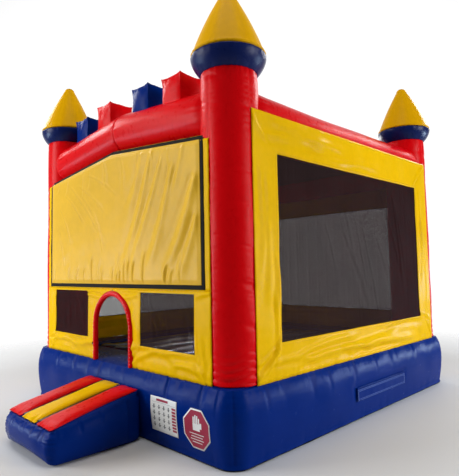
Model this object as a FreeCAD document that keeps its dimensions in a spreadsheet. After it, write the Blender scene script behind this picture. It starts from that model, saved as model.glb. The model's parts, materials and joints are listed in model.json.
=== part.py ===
"""Inflatable castle bounce house, modelled as the sewn pieces it is made from.

The origin is the centre of the rectangular base on the ground, +Z is up and the entrance faces -Y.
Every inflated chamber is a closed solid of its outer size, and every sheet of vinyl, net or webbing
is a thin solid. Driving sizes are plain numbers in the spreadsheet, in millimetres.
"""
import FreeCAD, Part
import math
import os
import re

import Sketcher

SIZES = {
    # base
    "base_width": 3630, "base_depth": 4030, "base_height": 614,
    "base_corner_radius": 170, "base_edge_radius": 36, "base_skin": 10,
    "ground_sheet_thickness": 8, "deck_margin": 12,
    "floor_thickness": 30, "channel_rise": 34, "channel_count": 8, "floor_drop": 44,
    "baffle_thickness": 6, "baffle_end_gap": 120,
    # clearances between sewn neighbours, and between pieces that move apart
    "seam_gap": 2, "rest_gap": 1,
    # corner towers
    "side_wall_inset": 44, "end_wall_inset": 66, "column_radius": 252, "column_top": 3225,
    "column_skin": 20,
    "rim_radius": 329, "collar_flare": 103, "collar_height": 162,
    "spire_height": 611, "spire_tip_radius": 52, "spire_tip_fillet": 46,
    # top beams
    "beam_radius": 235, "side_beam_z": 2885, "front_beam_end_z": 2850, "gable_rise": 140,
    # battlements
    "merlon_width": 300, "merlon_depth": 305, "merlon_rise": 262, "merlon_fillet": 25,
    "merlon_inner_shift": 79, "merlon_outer_shift": 30,
    # walls and nets
    "sheet_thickness": 6, "net_thickness": 4, "net_gap": 1,
    "window_margin": 322, "window_bottom": 912, "window_top": 2540, "back_window_top": 2400,
    "front_seam_z": 1365, "front_wall_drop": 160,
    "front_window_inner": 510, "front_window_outer": 1310,
    "front_window_bottom": 832, "front_window_top": 1338,
    # entrance
    "door_half_width": 345, "door_head": 20, "door_trim_radius": 28,
    # banner and its hook-and-loop frame
    "banner_half_width": 1455, "banner_bottom": 1376, "banner_inset": 18,
    "strip_width": 36, "strip_thickness": 4, "banner_edge_gap": 3,
    # roof
    "roof_z": 2890, "roof_thickness": 6,
    # entrance step
    "step_x": 160, "step_width": 960, "step_length": 880,
    "step_back_height": 455, "step_front_height": 268, "step_fillet": 45,
    "pad_thickness": 46, "pad_spacing": 20, "pad_margin": 30, "pad_fillet": 20,
    "valley_thickness": 8,
    # signs on the base
    "sign_thickness": 2, "placard_step_gap": 135, "placard_z": 282, "placard_width": 375,
    "placard_height": 300, "sign_gap": 90, "stop_z": 264, "stop_across": 320,
    # deflation port on the right side of the base
    "flap_y": 240, "flap_top_z": 330, "flap_length": 1040, "flap_height": 132,
    "flap_thickness": 3, "flap_standoff": 14, "header_height": 14,
    "zip_length": 960, "zip_width": 26, "zip_thickness": 2, "zip_drop": 66,
    "slider_length": 32, "slider_width": 16, "slider_height": 7, "pull_length": 38,
    "pull_width": 12, "pull_thickness": 2,
    # blower inlet sleeve at the back
    "sleeve_x": -950, "sleeve_z": 178, "sleeve_radius": 150, "sleeve_wall": 4,
    "sleeve_length": 650, "inlet_radius": 138, "strap_width": 40, "strap_thickness": 3,
    "strap_inset": 70,
    # ground anchors
    "anchor_y": 1250, "anchor_x": 1400, "anchor_z": 230, "ring_radius": 34,
    "ring_wire": 4, "ring_clearance": 0.3, "tab_size": 110, "tab_plate": 3,
    "tab_loop_wall": 3, "tab_loop_length": 40, "ring_standoff": 14,
}

doc = FreeCAD.newDocument("bounce_house")
sizes = doc.addObject("Spreadsheet::Sheet", "sizes")
for row, (alias, value) in enumerate(SIZES.items(), start=1):
    sizes.set(f"A{row}", alias)
    sizes.set(f"B{row}", str(value))
    sizes.setAlias(f"B{row}", alias)
doc.recompute()

ALIAS = re.compile(r"\b(" + "|".join(sorted(SIZES, key=len, reverse=True)) + r")\b")
NODES = {}

# places worked out from the driving sizes, as expressions
HALF_X = "(base_width / 2)"
HALF_Y = "(base_depth / 2)"
COLUMN_X = f"({HALF_X} - side_wall_inset - column_radius)"
COLUMN_Y = f"({HALF_Y} - end_wall_inset - column_radius)"
DECK_X = f"({COLUMN_X} - column_radius - deck_margin)"
DECK_Y = f"({COLUMN_Y} - column_radius - deck_margin)"
FLOOR_X = f"({DECK_X} - seam_gap)"
FLOOR_Y = f"({DECK_Y} - seam_gap)"
FLOOR_Z = "(base_height - floor_drop)"
SIDE_IN = f"({COLUMN_X} + column_radius + seam_gap)"
SIDE_OUT = f"({SIDE_IN} + sheet_thickness)"
END_IN = f"({COLUMN_Y} + column_radius + seam_gap)"
END_OUT = f"({END_IN} + sheet_thickness)"
WALL_BOTTOM = "(base_height + rest_gap)"
FRONT_TOP = "(front_beam_end_z - front_wall_drop)"
BANNER_TOP = f"({FRONT_TOP} - banner_inset)"
DOOR_CUT = "(door_half_width + door_trim_radius + rest_gap)"
DOOR_SPRING = f"(front_seam_z - door_head - {DOOR_CUT})"
MERLON_GAP = f"((2 * ({COLUMN_X} - column_radius) - 4 * merlon_width) / 5)"
MERLON_INNER = f"(({MERLON_GAP} + merlon_width) / 2 + merlon_inner_shift)"
MERLON_OUTER = f"(3 * ({MERLON_GAP} + merlon_width) / 2 + merlon_outer_shift)"
GABLE_SLOPE = f"(gable_rise / {COLUMN_X})"
PITCH = f"(2 * {FLOOR_X} / channel_count)"
STEP_SLOPE = "((step_back_height - step_front_height) / step_length)"
STEP_BACK = f"({HALF_Y} + seam_gap)"
PAD_WIDTH = "((step_width - 2 * pad_margin - 2 * pad_spacing) / 3)"
PAD_LENGTH = f"((step_length - 2 * pad_margin) * sqrt(1 + {STEP_SLOPE}^2))"


def qualified(text):
    """The expression with every alias pointing at the spreadsheet."""
    return ALIAS.sub(r"sizes.\1", str(text))


def bind(obj, prop, text):
    """Tie a property of obj to the spreadsheet."""
    obj.setExpression(prop, qualified(text))


def number(text):
    """Today's value of an expression, used only to start a sketch near its solution."""
    value = sizes.evalExpression(qualified(text))
    return float(getattr(value, "Value", value))


def place(obj, x="0", y="0", z="0"):
    """Tie an object's position to the spreadsheet."""
    for axis, text in zip("xyz", (x, y, z)):
        bind(obj, f"Placement.Base.{axis}", text)
    return obj


def node(label, obj):
    """Register obj as a finished sub-part with its own label."""
    obj.Label = label
    NODES[label] = obj
    return obj


def box(name, x, y, z):
    """A block between two expressions along each axis."""
    obj = doc.addObject("Part::Box", name)
    for prop, (low, high) in zip(("Length", "Width", "Height"), (x, y, z)):
        bind(obj, prop, f"({high}) - ({low})")
    return place(obj, x[0], y[0], z[0])


TURNS = {
    "X": FreeCAD.Rotation(FreeCAD.Vector(0, 1, 0), 90),
    "Y": FreeCAD.Rotation(FreeCAD.Vector(1, 0, 0), -90),
    "Z": FreeCAD.Rotation(),
}


def cylinder(name, radius, length, start, along="Z"):
    """A round bar from start, pointing along one of the axes."""
    obj = doc.addObject("Part::Cylinder", name)
    bind(obj, "Radius", radius)
    bind(obj, "Height", length)
    obj.Placement.Rotation = TURNS[along]
    return place(obj, *start)


def sphere(name, radius, centre):
    """A ball at centre."""
    obj = doc.addObject("Part::Sphere", name)
    bind(obj, "Radius", radius)
    return place(obj, *centre)


def cut(name, base, *tools):
    """Base with every tool taken away."""
    for index, tool in enumerate(tools, start=1):
        obj = doc.addObject("Part::Cut", f"{name}_cut{index}")
        obj.Base = base
        obj.Tool = tool
        base = obj
    return base


def fuse(name, *parts):
    """Several pieces joined into one solid."""
    obj = doc.addObject("Part::MultiFuse", name)
    obj.Shapes = list(parts)
    obj.Refine = True
    return obj


def group(name, *parts):
    """Several separate solids that share one node."""
    obj = doc.addObject("Part::Compound", name)
    obj.Links = list(parts)
    return obj


def body_with_sketch(name, plane):
    """A PartDesign body and a sketch on one of its own origin planes."""
    body = doc.addObject("PartDesign::Body", name)
    sketch = body.newObject("Sketcher::SketchObject", f"{name}_sketch")
    origin_plane = next(f for f in body.Origin.OriginFeatures if f.Role == plane)
    sketch.AttachmentSupport = [(origin_plane, "")]
    sketch.MapMode = "FlatFace"
    return body, sketch


def polygon(sketch, points):
    """A closed outline whose corners are tied to expressions."""
    first = sketch.GeometryCount
    corners = [FreeCAD.Vector(number(u), number(v), 0) for u, v in points]
    count = len(points)
    for index in range(count):
        line = Part.LineSegment(corners[index], corners[(index + 1) % count])
        sketch.addGeometry(line, False)
    for index, (u, v) in enumerate(points):
        line = first + index
        after = first + (index + 1) % count
        sketch.addConstraint(Sketcher.Constraint("Coincident", line, 2, after, 1))
        for kind, text, own_axis in (("DistanceX", u, -2), ("DistanceY", v, -1)):
            if text == "0":
                sketch.addConstraint(Sketcher.Constraint("PointOnObject", line, 1, own_axis))
            else:
                value = number(text)
                made = sketch.addConstraint(Sketcher.Constraint(kind, -1, 1, line, 1, value))
                bind(sketch, f"Constraints[{made}]", text)


def pad(body, sketch, length, symmetric=False):
    """Thicken a sketch into the body's solid."""
    obj = body.newObject("PartDesign::Pad", f"{body.Name}_pad")
    obj.Profile = sketch
    bind(obj, "Length", length)
    obj.Midplane = symmetric
    body.Tip = obj
    doc.recompute()
    return obj


def round_edges(body, feature, radius, chosen):
    """Fillet the feature's edges that the test picks."""
    names = [f"Edge{i}" for i, e in enumerate(feature.Shape.Edges, start=1) if chosen(e)]
    obj = body.newObject("PartDesign::Fillet", f"{feature.Name}_fillet")
    obj.Base = (feature, names)
    bind(obj, "Radius", radius)
    body.Tip = obj
    doc.recompute()
    return obj


def upright(edge):
    """True for a straight edge along Z."""
    low, high = edge.BoundBox.ZMin, edge.BoundBox.ZMax
    return abs(edge.Length - (high - low)) < 1e-6


def rounded_block(name, half_x, half_y, height, corner, top_edge):
    """A block on the XY plane with rounded corners and a rounded top edge."""
    body, sketch = body_with_sketch(name, "XY_Plane")
    polygon(sketch, [
        (f"-{half_x}", f"-{half_y}"), (half_x, f"-{half_y}"),
        (half_x, half_y), (f"-{half_x}", half_y),
    ])
    block = pad(body, sketch, height)
    rounded = round_edges(body, block, corner, upright)
    top = rounded.Shape.BoundBox.ZMax
    if top_edge:
        round_edges(body, rounded, top_edge, lambda e: e.BoundBox.ZMin > top - 1e-6)
    return body


def revolved(name, profile, x, y, z):
    """A turned solid whose profile lists radius and height from its own foot."""
    body, sketch = body_with_sketch(name, "XZ_Plane")
    polygon(sketch, profile)
    obj = body.newObject("PartDesign::Revolution", f"{name}_turn")
    obj.Profile = sketch
    obj.ReferenceAxis = (sketch, ["V_Axis"])
    obj.Angle = 360
    body.Tip = obj
    place(body, x, y, z)
    doc.recompute()
    return body, obj


def gable_outline(half, bottom, top):
    """Five corners of a panel whose top rises to a peak in the middle."""
    shoulder = f"({top} + gable_rise - {GABLE_SLOPE} * ({half}))"
    return [
        (f"-({half})", bottom), (half, bottom), (half, shoulder),
        ("0", f"({top} + gable_rise)"), (f"-({half})", shoulder),
    ]


def base():
    """Blue skirt with its deck, ground sheet, quilted floor and the webs inside."""
    edge = "base_edge_radius"
    outer = rounded_block("skirt_outside", HALF_X, HALF_Y,
                          "(base_height - ground_sheet_thickness)", "base_corner_radius", edge)
    place(outer, "0", "0", "ground_sheet_thickness")
    inner = rounded_block("skirt_inside", f"({HALF_X} - base_skin)", f"({HALF_Y} - base_skin)",
                          "(base_height - ground_sheet_thickness - base_skin)",
                          "(base_corner_radius - base_skin)", "(base_edge_radius - base_skin)")
    place(inner, "0", "0", "ground_sheet_thickness")
    hole = box("deck_hole", (f"-{DECK_X}", DECK_X), (f"-{DECK_Y}", DECK_Y),
               ("base_height - 2 * base_skin", "base_height + base_skin"))
    inlet = cylinder("inlet_hole", "inlet_radius", "4 * base_skin",
                     ("sleeve_x", f"{HALF_Y} - 2 * base_skin", "sleeve_z"), "Y")
    node("base_skirt", cut("base_skirt", outer, inner, hole, inlet))
    sheet_body, sheet_sketch = body_with_sketch("ground_sheet", "XY_Plane")
    polygon(sheet_sketch, [
        (f"-{HALF_X}", f"-{HALF_Y}"), (HALF_X, f"-{HALF_Y}"), (HALF_X, HALF_Y),
        (f"-{HALF_X}", HALF_Y),
    ])
    slab = pad(sheet_body, sheet_sketch, "ground_sheet_thickness")
    round_edges(sheet_body, slab, "base_corner_radius", upright)
    node("ground_sheet", sheet_body)
    jump_floor()
    webs = []
    for index in range(1, int(SIZES["channel_count"])):
        middle = f"({index} * {PITCH} - {FLOOR_X})"
        webs.append(box(
            f"baffle_{index}",
            (f"{middle} - baffle_thickness / 2", f"{middle} + baffle_thickness / 2"),
            (f"baffle_end_gap - {FLOOR_Y}", f"{FLOOR_Y} - baffle_end_gap"),
            ("ground_sheet_thickness", f"{FLOOR_Z} - floor_thickness"),
        ))
    node("floor_baffles", group("floor_baffles", *webs))


def jump_floor():
    """The quilted jumping surface: a slab with raised air channels that run front to back."""
    body, sketch = body_with_sketch("jump_floor", "XZ_Plane")
    polygon(sketch, [
        (f"-{FLOOR_X}", "-floor_thickness"), (FLOOR_X, "-floor_thickness"), (FLOOR_X, "0"),
        (f"-{FLOOR_X}", "0"),
    ])
    pad(body, sketch, f"2 * {FLOOR_Y}", symmetric=True)
    channel = body.newObject("Sketcher::SketchObject", "channel_sketch")
    channel.AttachmentSupport = [
        (next(f for f in body.Origin.OriginFeatures if f.Role == "XZ_Plane"), "")]
    channel.MapMode = "FlatFace"
    radius = f"(({PITCH} / 2)^2 + channel_rise^2) / (2 * channel_rise)"
    start, end = f"-{FLOOR_X}", f"({PITCH} - {FLOOR_X})"
    left, right, bend = number(start), number(end), number(radius)
    centre = FreeCAD.Vector((left + right) / 2, number("channel_rise") - bend, 0)
    half_angle = math.asin((right - left) / 2 / bend)
    circle = Part.Circle(centre, FreeCAD.Vector(0, 0, 1), bend)
    channel.addGeometry(
        Part.ArcOfCircle(circle, math.pi / 2 - half_angle, math.pi / 2 + half_angle))
    channel.addGeometry(Part.LineSegment(FreeCAD.Vector(left, 0, 0), FreeCAD.Vector(right, 0, 0)))
    channel.addConstraint(Sketcher.Constraint("Coincident", 0, 2, 1, 1))
    channel.addConstraint(Sketcher.Constraint("Coincident", 0, 1, 1, 2))
    for point, text, value in ((1, start, left), (2, end, right)):
        made = channel.addConstraint(Sketcher.Constraint("DistanceX", -1, 1, 1, point, value))
        bind(channel, f"Constraints[{made}]", text)
        channel.addConstraint(Sketcher.Constraint("PointOnObject", 1, point, -1))
    made = channel.addConstraint(Sketcher.Constraint("Radius", 0, number(radius)))
    bind(channel, f"Constraints[{made}]", radius)
    ridge = body.newObject("PartDesign::Pad", "channel_pad")
    ridge.Profile = channel
    bind(ridge, "Length", f"2 * {FLOOR_Y}")
    ridge.Midplane = True
    body.Tip = ridge
    doc.recompute()
    row = body.newObject("PartDesign::LinearPattern", "channel_row")
    row.Originals = [ridge]
    row.Direction = (channel, ["H_Axis"])
    bind(row, "Length", f"{PITCH} * (channel_count - 1)")
    row.Occurrences = int(SIZES["channel_count"])
    body.Tip = row
    place(body, "0", "0", FLOOR_Z)
    node("jump_floor", body)


CORNERS = {
    "front_right": (1, -1), "front_left": (-1, -1), "back_right": (1, 1), "back_left": (-1, 1),
}


def towers():
    """Four corner columns, each with a flared collar and a spire on top."""
    for corner, (side, end) in CORNERS.items():
        x, y = f"{side} * {COLUMN_X}", f"{end} * {COLUMN_Y}"
        outside = cylinder(f"column_{corner}_outside", "column_radius",
                           f"column_top - {WALL_BOTTOM}", (x, y, WALL_BOTTOM))
        inside = cylinder(f"column_{corner}_inside", "column_radius - column_skin",
                          f"column_top - {WALL_BOTTOM} - 2 * column_skin",
                          (x, y, f"{WALL_BOTTOM} + column_skin"))
        node(f"column_{corner}", cut(f"column_{corner}", outside, inside))
        collar, _ = revolved(f"collar_{corner}", [
            ("0", "0"), ("column_radius", "0"), ("rim_radius", "collar_flare"),
            ("rim_radius", "collar_height"), ("0", "collar_height"),
        ], x, y, "column_top + rest_gap")
        node(f"collar_{corner}", collar)
        spire, turned = revolved(f"spire_{corner}", [
            ("0", "0"), ("rim_radius", "0"), ("spire_tip_radius", "spire_height"),
            ("0", "spire_height"),
        ], x, y, "column_top + collar_height + 2 * rest_gap")
        tip = turned.Shape.BoundBox.ZMax
        round_edges(spire, turned, "spire_tip_fillet",
                    lambda e: e.BoundBox.ZMin > tip - 1e-6 and len(e.Vertexes) == 1)
        node(f"spire_{corner}", spire)


def column_cutters(name, corners):
    """Columns grown by the seam gap, used to end a beam just short of them."""
    made = []
    for index, (side, end) in enumerate(corners):
        made.append(cylinder(f"{name}_cutter{index}", "column_radius + seam_gap", "column_top",
                             (f"{side} * {COLUMN_X}", f"{end} * {COLUMN_Y}", "0")))
    return made


def gable_tube(name, radius):
    """The front beam's tube: two sloping lengths that meet in a rounded peak."""
    length = f"sqrt({COLUMN_X}^2 + gable_rise^2)"
    peak = ("0", f"-{COLUMN_Y}", "front_beam_end_z + gable_rise")
    halves = []
    for label, turn in (("right", 1), ("left", -1)):
        half = cylinder(f"{name}_{label}", radius, length, peak)
        half.Placement.Rotation = FreeCAD.Rotation(FreeCAD.Vector(0, turn, 0), 90)
        bind(half, "Placement.Rotation.Angle", f"90 deg + atan({GABLE_SLOPE})")
        halves.append(half)
    return fuse(name, *halves, sphere(f"{name}_peak", radius, peak))


def beams():
    """Tubes that tie the columns together at the top, and the battlements on the front one."""
    for label, side in (("right", 1), ("left", -1)):
        tube = cylinder(f"{label}_tube", "beam_radius", f"2 * {COLUMN_Y}",
                        (f"{side} * {COLUMN_X}", f"-{COLUMN_Y}", "side_beam_z"), "Y")
        ends = column_cutters(label, [(side, -1), (side, 1)])
        node(f"{label}_beam", cut(f"{label}_beam", tube, *ends))
    tube = cylinder("back_tube", "beam_radius", f"2 * {COLUMN_X}",
                    (f"-{COLUMN_X}", f"{COLUMN_Y}", "side_beam_z"), "X")
    node("back_beam", cut("back_beam", tube, *column_cutters("back", [(-1, 1), (1, 1)])))
    front = gable_tube("front_tube", "beam_radius")
    node("front_beam", cut("front_beam", front, *column_cutters("front", [(-1, -1), (1, -1)])))
    merlons = (("outer_left", f"-{MERLON_OUTER}"), ("inner_left", f"-{MERLON_INNER}"),
               ("inner_right", MERLON_INNER), ("outer_right", MERLON_OUTER))
    for label, x in merlons:
        block = rounded_block(f"{label}_block", "(merlon_width / 2)", "(merlon_depth / 2)",
                              "(beam_radius + merlon_rise)", "merlon_fillet", "merlon_fillet")
        middle = f"(front_beam_end_z + gable_rise - {GABLE_SLOPE} * abs({x}))"
        place(block, x, f"-{COLUMN_Y}", middle)
        saddle = gable_tube(f"{label}_saddle", "beam_radius + seam_gap")
        node(f"merlon_{label}", cut(f"merlon_{label}", block, saddle))


def side_walls():
    """Vinyl panels with large net windows on the right, left and back."""
    top = "side_beam_z"
    half = f"{COLUMN_Y}"
    window = f"({COLUMN_Y} - window_margin)"
    z_window = ("window_bottom", "window_top")
    for label, low, high in (("right", SIDE_IN, SIDE_OUT),
                             ("left", f"-{SIDE_OUT}", f"-{SIDE_IN}")):
        panel = box(f"{label}_panel", (low, high), (f"-{half}", half), (WALL_BOTTOM, top))
        hole = box(f"{label}_window", (f"{low} - 1", f"{high} + 1"),
                   (f"-{window}", window), z_window)
        node(f"{label}_wall", cut(f"{label}_wall", panel, hole))
        net = box(f"{label}_net", (f"{low} + net_gap", f"{low} + net_gap + net_thickness"),
                  (f"net_gap - {window}", f"{window} - net_gap"),
                  ("window_bottom + net_gap", "window_top - net_gap"))
        node(f"{label}_net", net)
    window = f"({COLUMN_X} - window_margin)"
    panel = box("back_panel", (f"-{COLUMN_X}", f"{COLUMN_X}"), (END_IN, END_OUT), (WALL_BOTTOM, top))
    hole = box("back_window", (f"-{window}", window), (f"{END_IN} - 1", f"{END_OUT} + 1"),
               ("window_bottom", "back_window_top"))
    node("back_wall", cut("back_wall", panel, hole))
    node("back_net", box(
        "back_net", (f"net_gap - {window}", f"{window} - net_gap"),
        (f"{END_IN} + net_gap", f"{END_IN} + net_gap + net_thickness"),
        ("window_bottom + net_gap", "back_window_top - net_gap")))


def front_wall():
    """Lower front in two halves round the doorway, the upper front, trim, nets and banner."""
    plane = (f"-{END_OUT}", f"-{END_IN}")
    through = (f"-{END_OUT} - 1", f"1 - {END_IN}")
    for label, side in (("right", 1), ("left", -1)):
        spans = [("0", f"{COLUMN_X}"), ("front_window_inner", "front_window_outer"),
                 ("front_window_inner + net_gap", "front_window_outer - net_gap")]
        if side < 0:
            spans = [(f"-({high})", f"-({low})") for low, high in spans]
        outer, window, net = spans
        panel = box(f"front_{label}_panel", outer, plane, (WALL_BOTTOM, "front_seam_z"))
        hole = box(f"front_{label}_window", window, through,
                   ("front_window_bottom", "front_window_top"))
        jamb = box(f"front_{label}_doorway", (f"-{DOOR_CUT}", DOOR_CUT), through,
                   ("0", DOOR_SPRING))
        arch = cylinder(f"front_{label}_arch", DOOR_CUT, "sheet_thickness + 2",
                        ("0", through[0], DOOR_SPRING), "Y")
        node(f"front_wall_{label}", cut(f"front_wall_{label}", panel, hole, jamb, arch))
        node(f"front_net_{label}", box(
            f"front_net_{label}", net,
            (f"-{END_IN} - net_gap - net_thickness", f"-{END_IN} - net_gap"),
            ("front_window_bottom + net_gap", "front_window_top - net_gap")))
    upper, sketch = body_with_sketch("front_wall_upper", "XZ_Plane")
    polygon(sketch, gable_outline(f"{COLUMN_X}", "front_seam_z + rest_gap", FRONT_TOP))
    pad(upper, sketch, "sheet_thickness")
    place(upper, "0", f"-{END_IN}", "0")
    node("front_wall_upper", upper)
    door_trim()
    banner()


def door_trim():
    """Inflated piping round the doorway."""
    middle = f"-({END_IN} + {END_OUT}) / 2"
    legs = [
        cylinder(f"trim_leg{index}", "door_trim_radius", f"{DOOR_SPRING} - base_height - rest_gap",
                 (f"{side} * door_half_width", middle, "base_height + rest_gap"))
        for index, side in enumerate((-1, 1))
    ]
    arch = doc.addObject("Part::Torus", "trim_arch")
    bind(arch, "Radius1", "door_half_width")
    bind(arch, "Radius2", "door_trim_radius")
    arch.Angle3 = 180
    arch.Placement.Rotation = FreeCAD.Rotation(FreeCAD.Vector(1, 0, 0), 90)
    place(arch, "0", middle, DOOR_SPRING)
    node("door_trim", fuse("door_trim", *legs, arch))


def banner():
    """Black hook-and-loop frame on the upper front, and the yellow banner that it holds."""
    frame, sketch = body_with_sketch("banner_frame", "XZ_Plane")
    inner = "(banner_half_width - strip_width)"
    inner_bottom = "(banner_bottom + strip_width)"
    polygon(sketch, gable_outline("banner_half_width", "banner_bottom", BANNER_TOP))
    polygon(sketch, gable_outline(inner, inner_bottom, f"({BANNER_TOP} - strip_width)"))
    pad(frame, sketch, "strip_thickness")
    place(frame, "0", f"-{END_OUT}", "0")
    node("banner_frame", frame)
    cloth, sketch = body_with_sketch("art_banner", "XZ_Plane")
    polygon(sketch, gable_outline(f"({inner} - banner_edge_gap)",
                                  f"({inner_bottom} + banner_edge_gap)",
                                  f"({BANNER_TOP} - strip_width - banner_edge_gap)"))
    pad(cloth, sketch, "strip_thickness")
    place(cloth, "0", f"-{END_OUT} - rest_gap", "0")
    node("art_banner", cloth)


def roof():
    """Flat cover sewn between the inner sides of the beams."""
    x = f"({COLUMN_X} - beam_radius - seam_gap)"
    y = f"({COLUMN_Y} - beam_radius - seam_gap)"
    node("roof_cover", box("roof_cover", (f"-{x}", x), (f"-{y}", y),
                           ("roof_z", "roof_z + roof_thickness")))


def step():
    """Wedge-shaped entrance step with three padded tubes and the dark strips between them."""
    body, sketch = body_with_sketch("step_body", "YZ_Plane")
    front = f"({STEP_BACK} + step_length)"
    polygon(sketch, [
        (f"-{front}", "0"), (f"-{STEP_BACK}", "0"), (f"-{STEP_BACK}", "step_back_height"),
        (f"-{front}", "step_front_height"),
    ])
    wedge = pad(body, sketch, "step_width", symmetric=True)
    round_edges(body, wedge, "step_fillet", lambda e: upright(e) and e.BoundBox.YMax < -number(
        f"({STEP_BACK} + step_length / 2)"))
    place(body, "step_x", "0", "0")
    node("step_body", body)
    start_y = f"(-{STEP_BACK} - pad_margin)"
    start_z = f"(step_back_height - {STEP_SLOPE} * pad_margin + rest_gap)"
    for index, label in enumerate(("left", "middle", "right")):
        pad_block = rounded_block(f"pad_{label}", f"({PAD_WIDTH} / 2)", f"({PAD_LENGTH} / 2)",
                                  "pad_thickness", "pad_fillet", "pad_fillet")
        offset = f"({index - 1} * ({PAD_WIDTH} + pad_spacing))"
        lay_on_slope(pad_block, f"step_x + {offset}", start_y, start_z)
        node(f"step_pad_{label}", pad_block)
    strips = []
    for index, side in enumerate((-1, 1)):
        strip = rounded_block(f"valley_{index}", "(pad_spacing / 2 - rest_gap)",
                              f"({PAD_LENGTH} / 2 - pad_fillet)", "valley_thickness",
                              "rest_gap", None)
        offset = f"({side} * ({PAD_WIDTH} + pad_spacing) / 2)"
        lay_on_slope(strip, f"step_x + {offset}", start_y, start_z)
        strips.append(strip)
    node("step_valley_strips", group("step_valley_strips", *strips))


def lay_on_slope(obj, x, start_y, start_z):
    """Tilt a block to the step's slope, with its middle half a pad length down from the start."""
    obj.Placement.Rotation = FreeCAD.Rotation(FreeCAD.Vector(1, 0, 0), 10)
    bind(obj, "Placement.Rotation.Angle", f"atan({STEP_SLOPE})")
    run = "((step_length - 2 * pad_margin) / 2)"
    place(obj, x, f"{start_y} - {run}", f"{start_z} - {STEP_SLOPE} * {run}")


def signs():
    """Rules placard and eight-sided sign on the front of the base."""
    y = (f"-{HALF_Y} - sign_thickness - rest_gap", f"-{HALF_Y} - rest_gap")
    left = "(step_x + step_width / 2 + placard_step_gap)"
    node("rules_placard", box(
        "rules_placard", (left, f"{left} + placard_width"), y,
        ("placard_z - placard_height / 2", "placard_z + placard_height / 2")))
    plate = doc.addObject("Part::Prism", "stop_sign")
    plate.Polygon = 8
    bind(plate, "Circumradius", "stop_across / 2 / cos(22.5 deg)")
    bind(plate, "Height", "sign_thickness")
    turn = FreeCAD.Rotation(FreeCAD.Vector(1, 0, 0), 90)
    flat_top = FreeCAD.Rotation(FreeCAD.Vector(0, 0, 1), 22.5)
    plate.Placement.Rotation = turn.multiply(flat_top)
    place(plate, f"{left} + placard_width + sign_gap + stop_across / 2",
          f"-{HALF_Y} - rest_gap", "stop_z")
    node("stop_sign", plate)


def deflation_port():
    """Zip on the right side of the base, under a flap that lifts from its sewn header."""
    face = HALF_X
    along = ("flap_y - flap_length / 2", "flap_y + flap_length / 2")
    node("flap_header", box("flap_header", (face, f"{face} + flap_standoff + flap_thickness"),
                            along, ("flap_top_z - header_height", "flap_top_z")))
    hinge_z = "(flap_top_z - header_height - rest_gap)"
    node("zip_flap", box(
        "zip_flap", (f"{face} + flap_standoff", f"{face} + flap_standoff + flap_thickness"),
        along, ("flap_top_z - flap_height", hinge_z)))
    zip_z = "(flap_top_z - zip_drop)"
    node("zip_tape", box("zip_tape", (face, f"{face} + zip_thickness"),
                         ("flap_y - zip_length / 2", "flap_y + zip_length / 2"),
                         (f"{zip_z} - zip_width / 2", f"{zip_z} + zip_width / 2")))
    start = "(flap_y - zip_length / 2 + rest_gap)"
    near = f"({face} + zip_thickness + rest_gap)"
    slider = box("slider_block", (near, f"{near} + slider_height"),
                 (start, f"{start} + slider_length"),
                 (f"{zip_z} - slider_width / 2", f"{zip_z} + slider_width / 2"))
    middle = f"({start} + slider_length / 2)"
    pull = box("slider_pull", (f"{near} + slider_height - pull_thickness", f"{near} + slider_height"),
               (f"{middle} - pull_width / 2", f"{middle} + pull_width / 2"),
               (f"{zip_z} - pull_length", zip_z))
    node("zip_slider", fuse("zip_slider", slider, pull))


def inlet():
    """Fabric sleeve that goes over the blower's outlet, and its cinch strap."""
    start = f"({HALF_Y} + rest_gap)"
    centre = ("sleeve_x", start, "sleeve_z")
    tube = cylinder("sleeve_outside", "sleeve_radius + sleeve_wall", "sleeve_length", centre, "Y")
    bore = cylinder("sleeve_bore", "sleeve_radius", "sleeve_length + 2",
                    ("sleeve_x", f"{start} - 1", "sleeve_z"), "Y")
    node("inlet_sleeve", cut("inlet_sleeve", tube, bore))
    inside = "(sleeve_radius + sleeve_wall + rest_gap / 2)"
    strap_y = f"({start} + sleeve_length - strap_inset - strap_width)"
    band = cylinder("strap_outside", f"{inside} + strap_thickness", "strap_width",
                    ("sleeve_x", strap_y, "sleeve_z"), "Y")
    hole = cylinder("strap_bore", inside, "strap_width + 2",
                    ("sleeve_x", f"{strap_y} - 1", "sleeve_z"), "Y")
    node("sleeve_strap", cut("sleeve_strap", band, hole))


def ring(name):
    """D-shaped steel ring about its own straight bar, hanging down from it."""
    bar = cylinder(f"{name}_bar", "ring_wire", "2 * ring_radius", ("-ring_radius", "0", "0"), "X")
    bow = doc.addObject("Part::Torus", f"{name}_bow")
    bind(bow, "Radius1", "ring_radius")
    bind(bow, "Radius2", "ring_wire")
    bow.Angle3 = 180
    bow.Placement.Rotation = FreeCAD.Rotation(FreeCAD.Vector(1, 0, 0), -90)
    ends = [sphere(f"{name}_end{index}", "ring_wire", (f"{side} * ring_radius", "0", "0"))
            for index, side in enumerate((-1, 1))]
    return fuse(name, bar, bow, *ends)


def tab(name):
    """Webbing tab: a plate on the base and a loop round the ring's bar, facing +Y."""
    loop_radius = "(ring_wire + ring_clearance + tab_loop_wall)"
    back = "(rest_gap - ring_standoff)"
    plate = box(f"{name}_plate", ("-tab_size / 2", "tab_size / 2"),
                (back, f"{back} + tab_plate"), ("-tab_size / 2", "tab_size / 2"))
    loop = cylinder(f"{name}_loop", loop_radius, "tab_loop_length",
                    ("-tab_loop_length / 2", "0", "0"), "X")
    web = box(f"{name}_web", ("-tab_loop_length / 2", "tab_loop_length / 2"), (back, "0"),
              (f"-{loop_radius}", loop_radius))
    bore = cylinder(f"{name}_bore", "ring_wire + ring_clearance", "tab_loop_length + 2",
                    ("-tab_loop_length / 2 - 1", "0", "0"), "X")
    return cut(name, fuse(f"{name}_block", plate, loop, web), bore)


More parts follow.
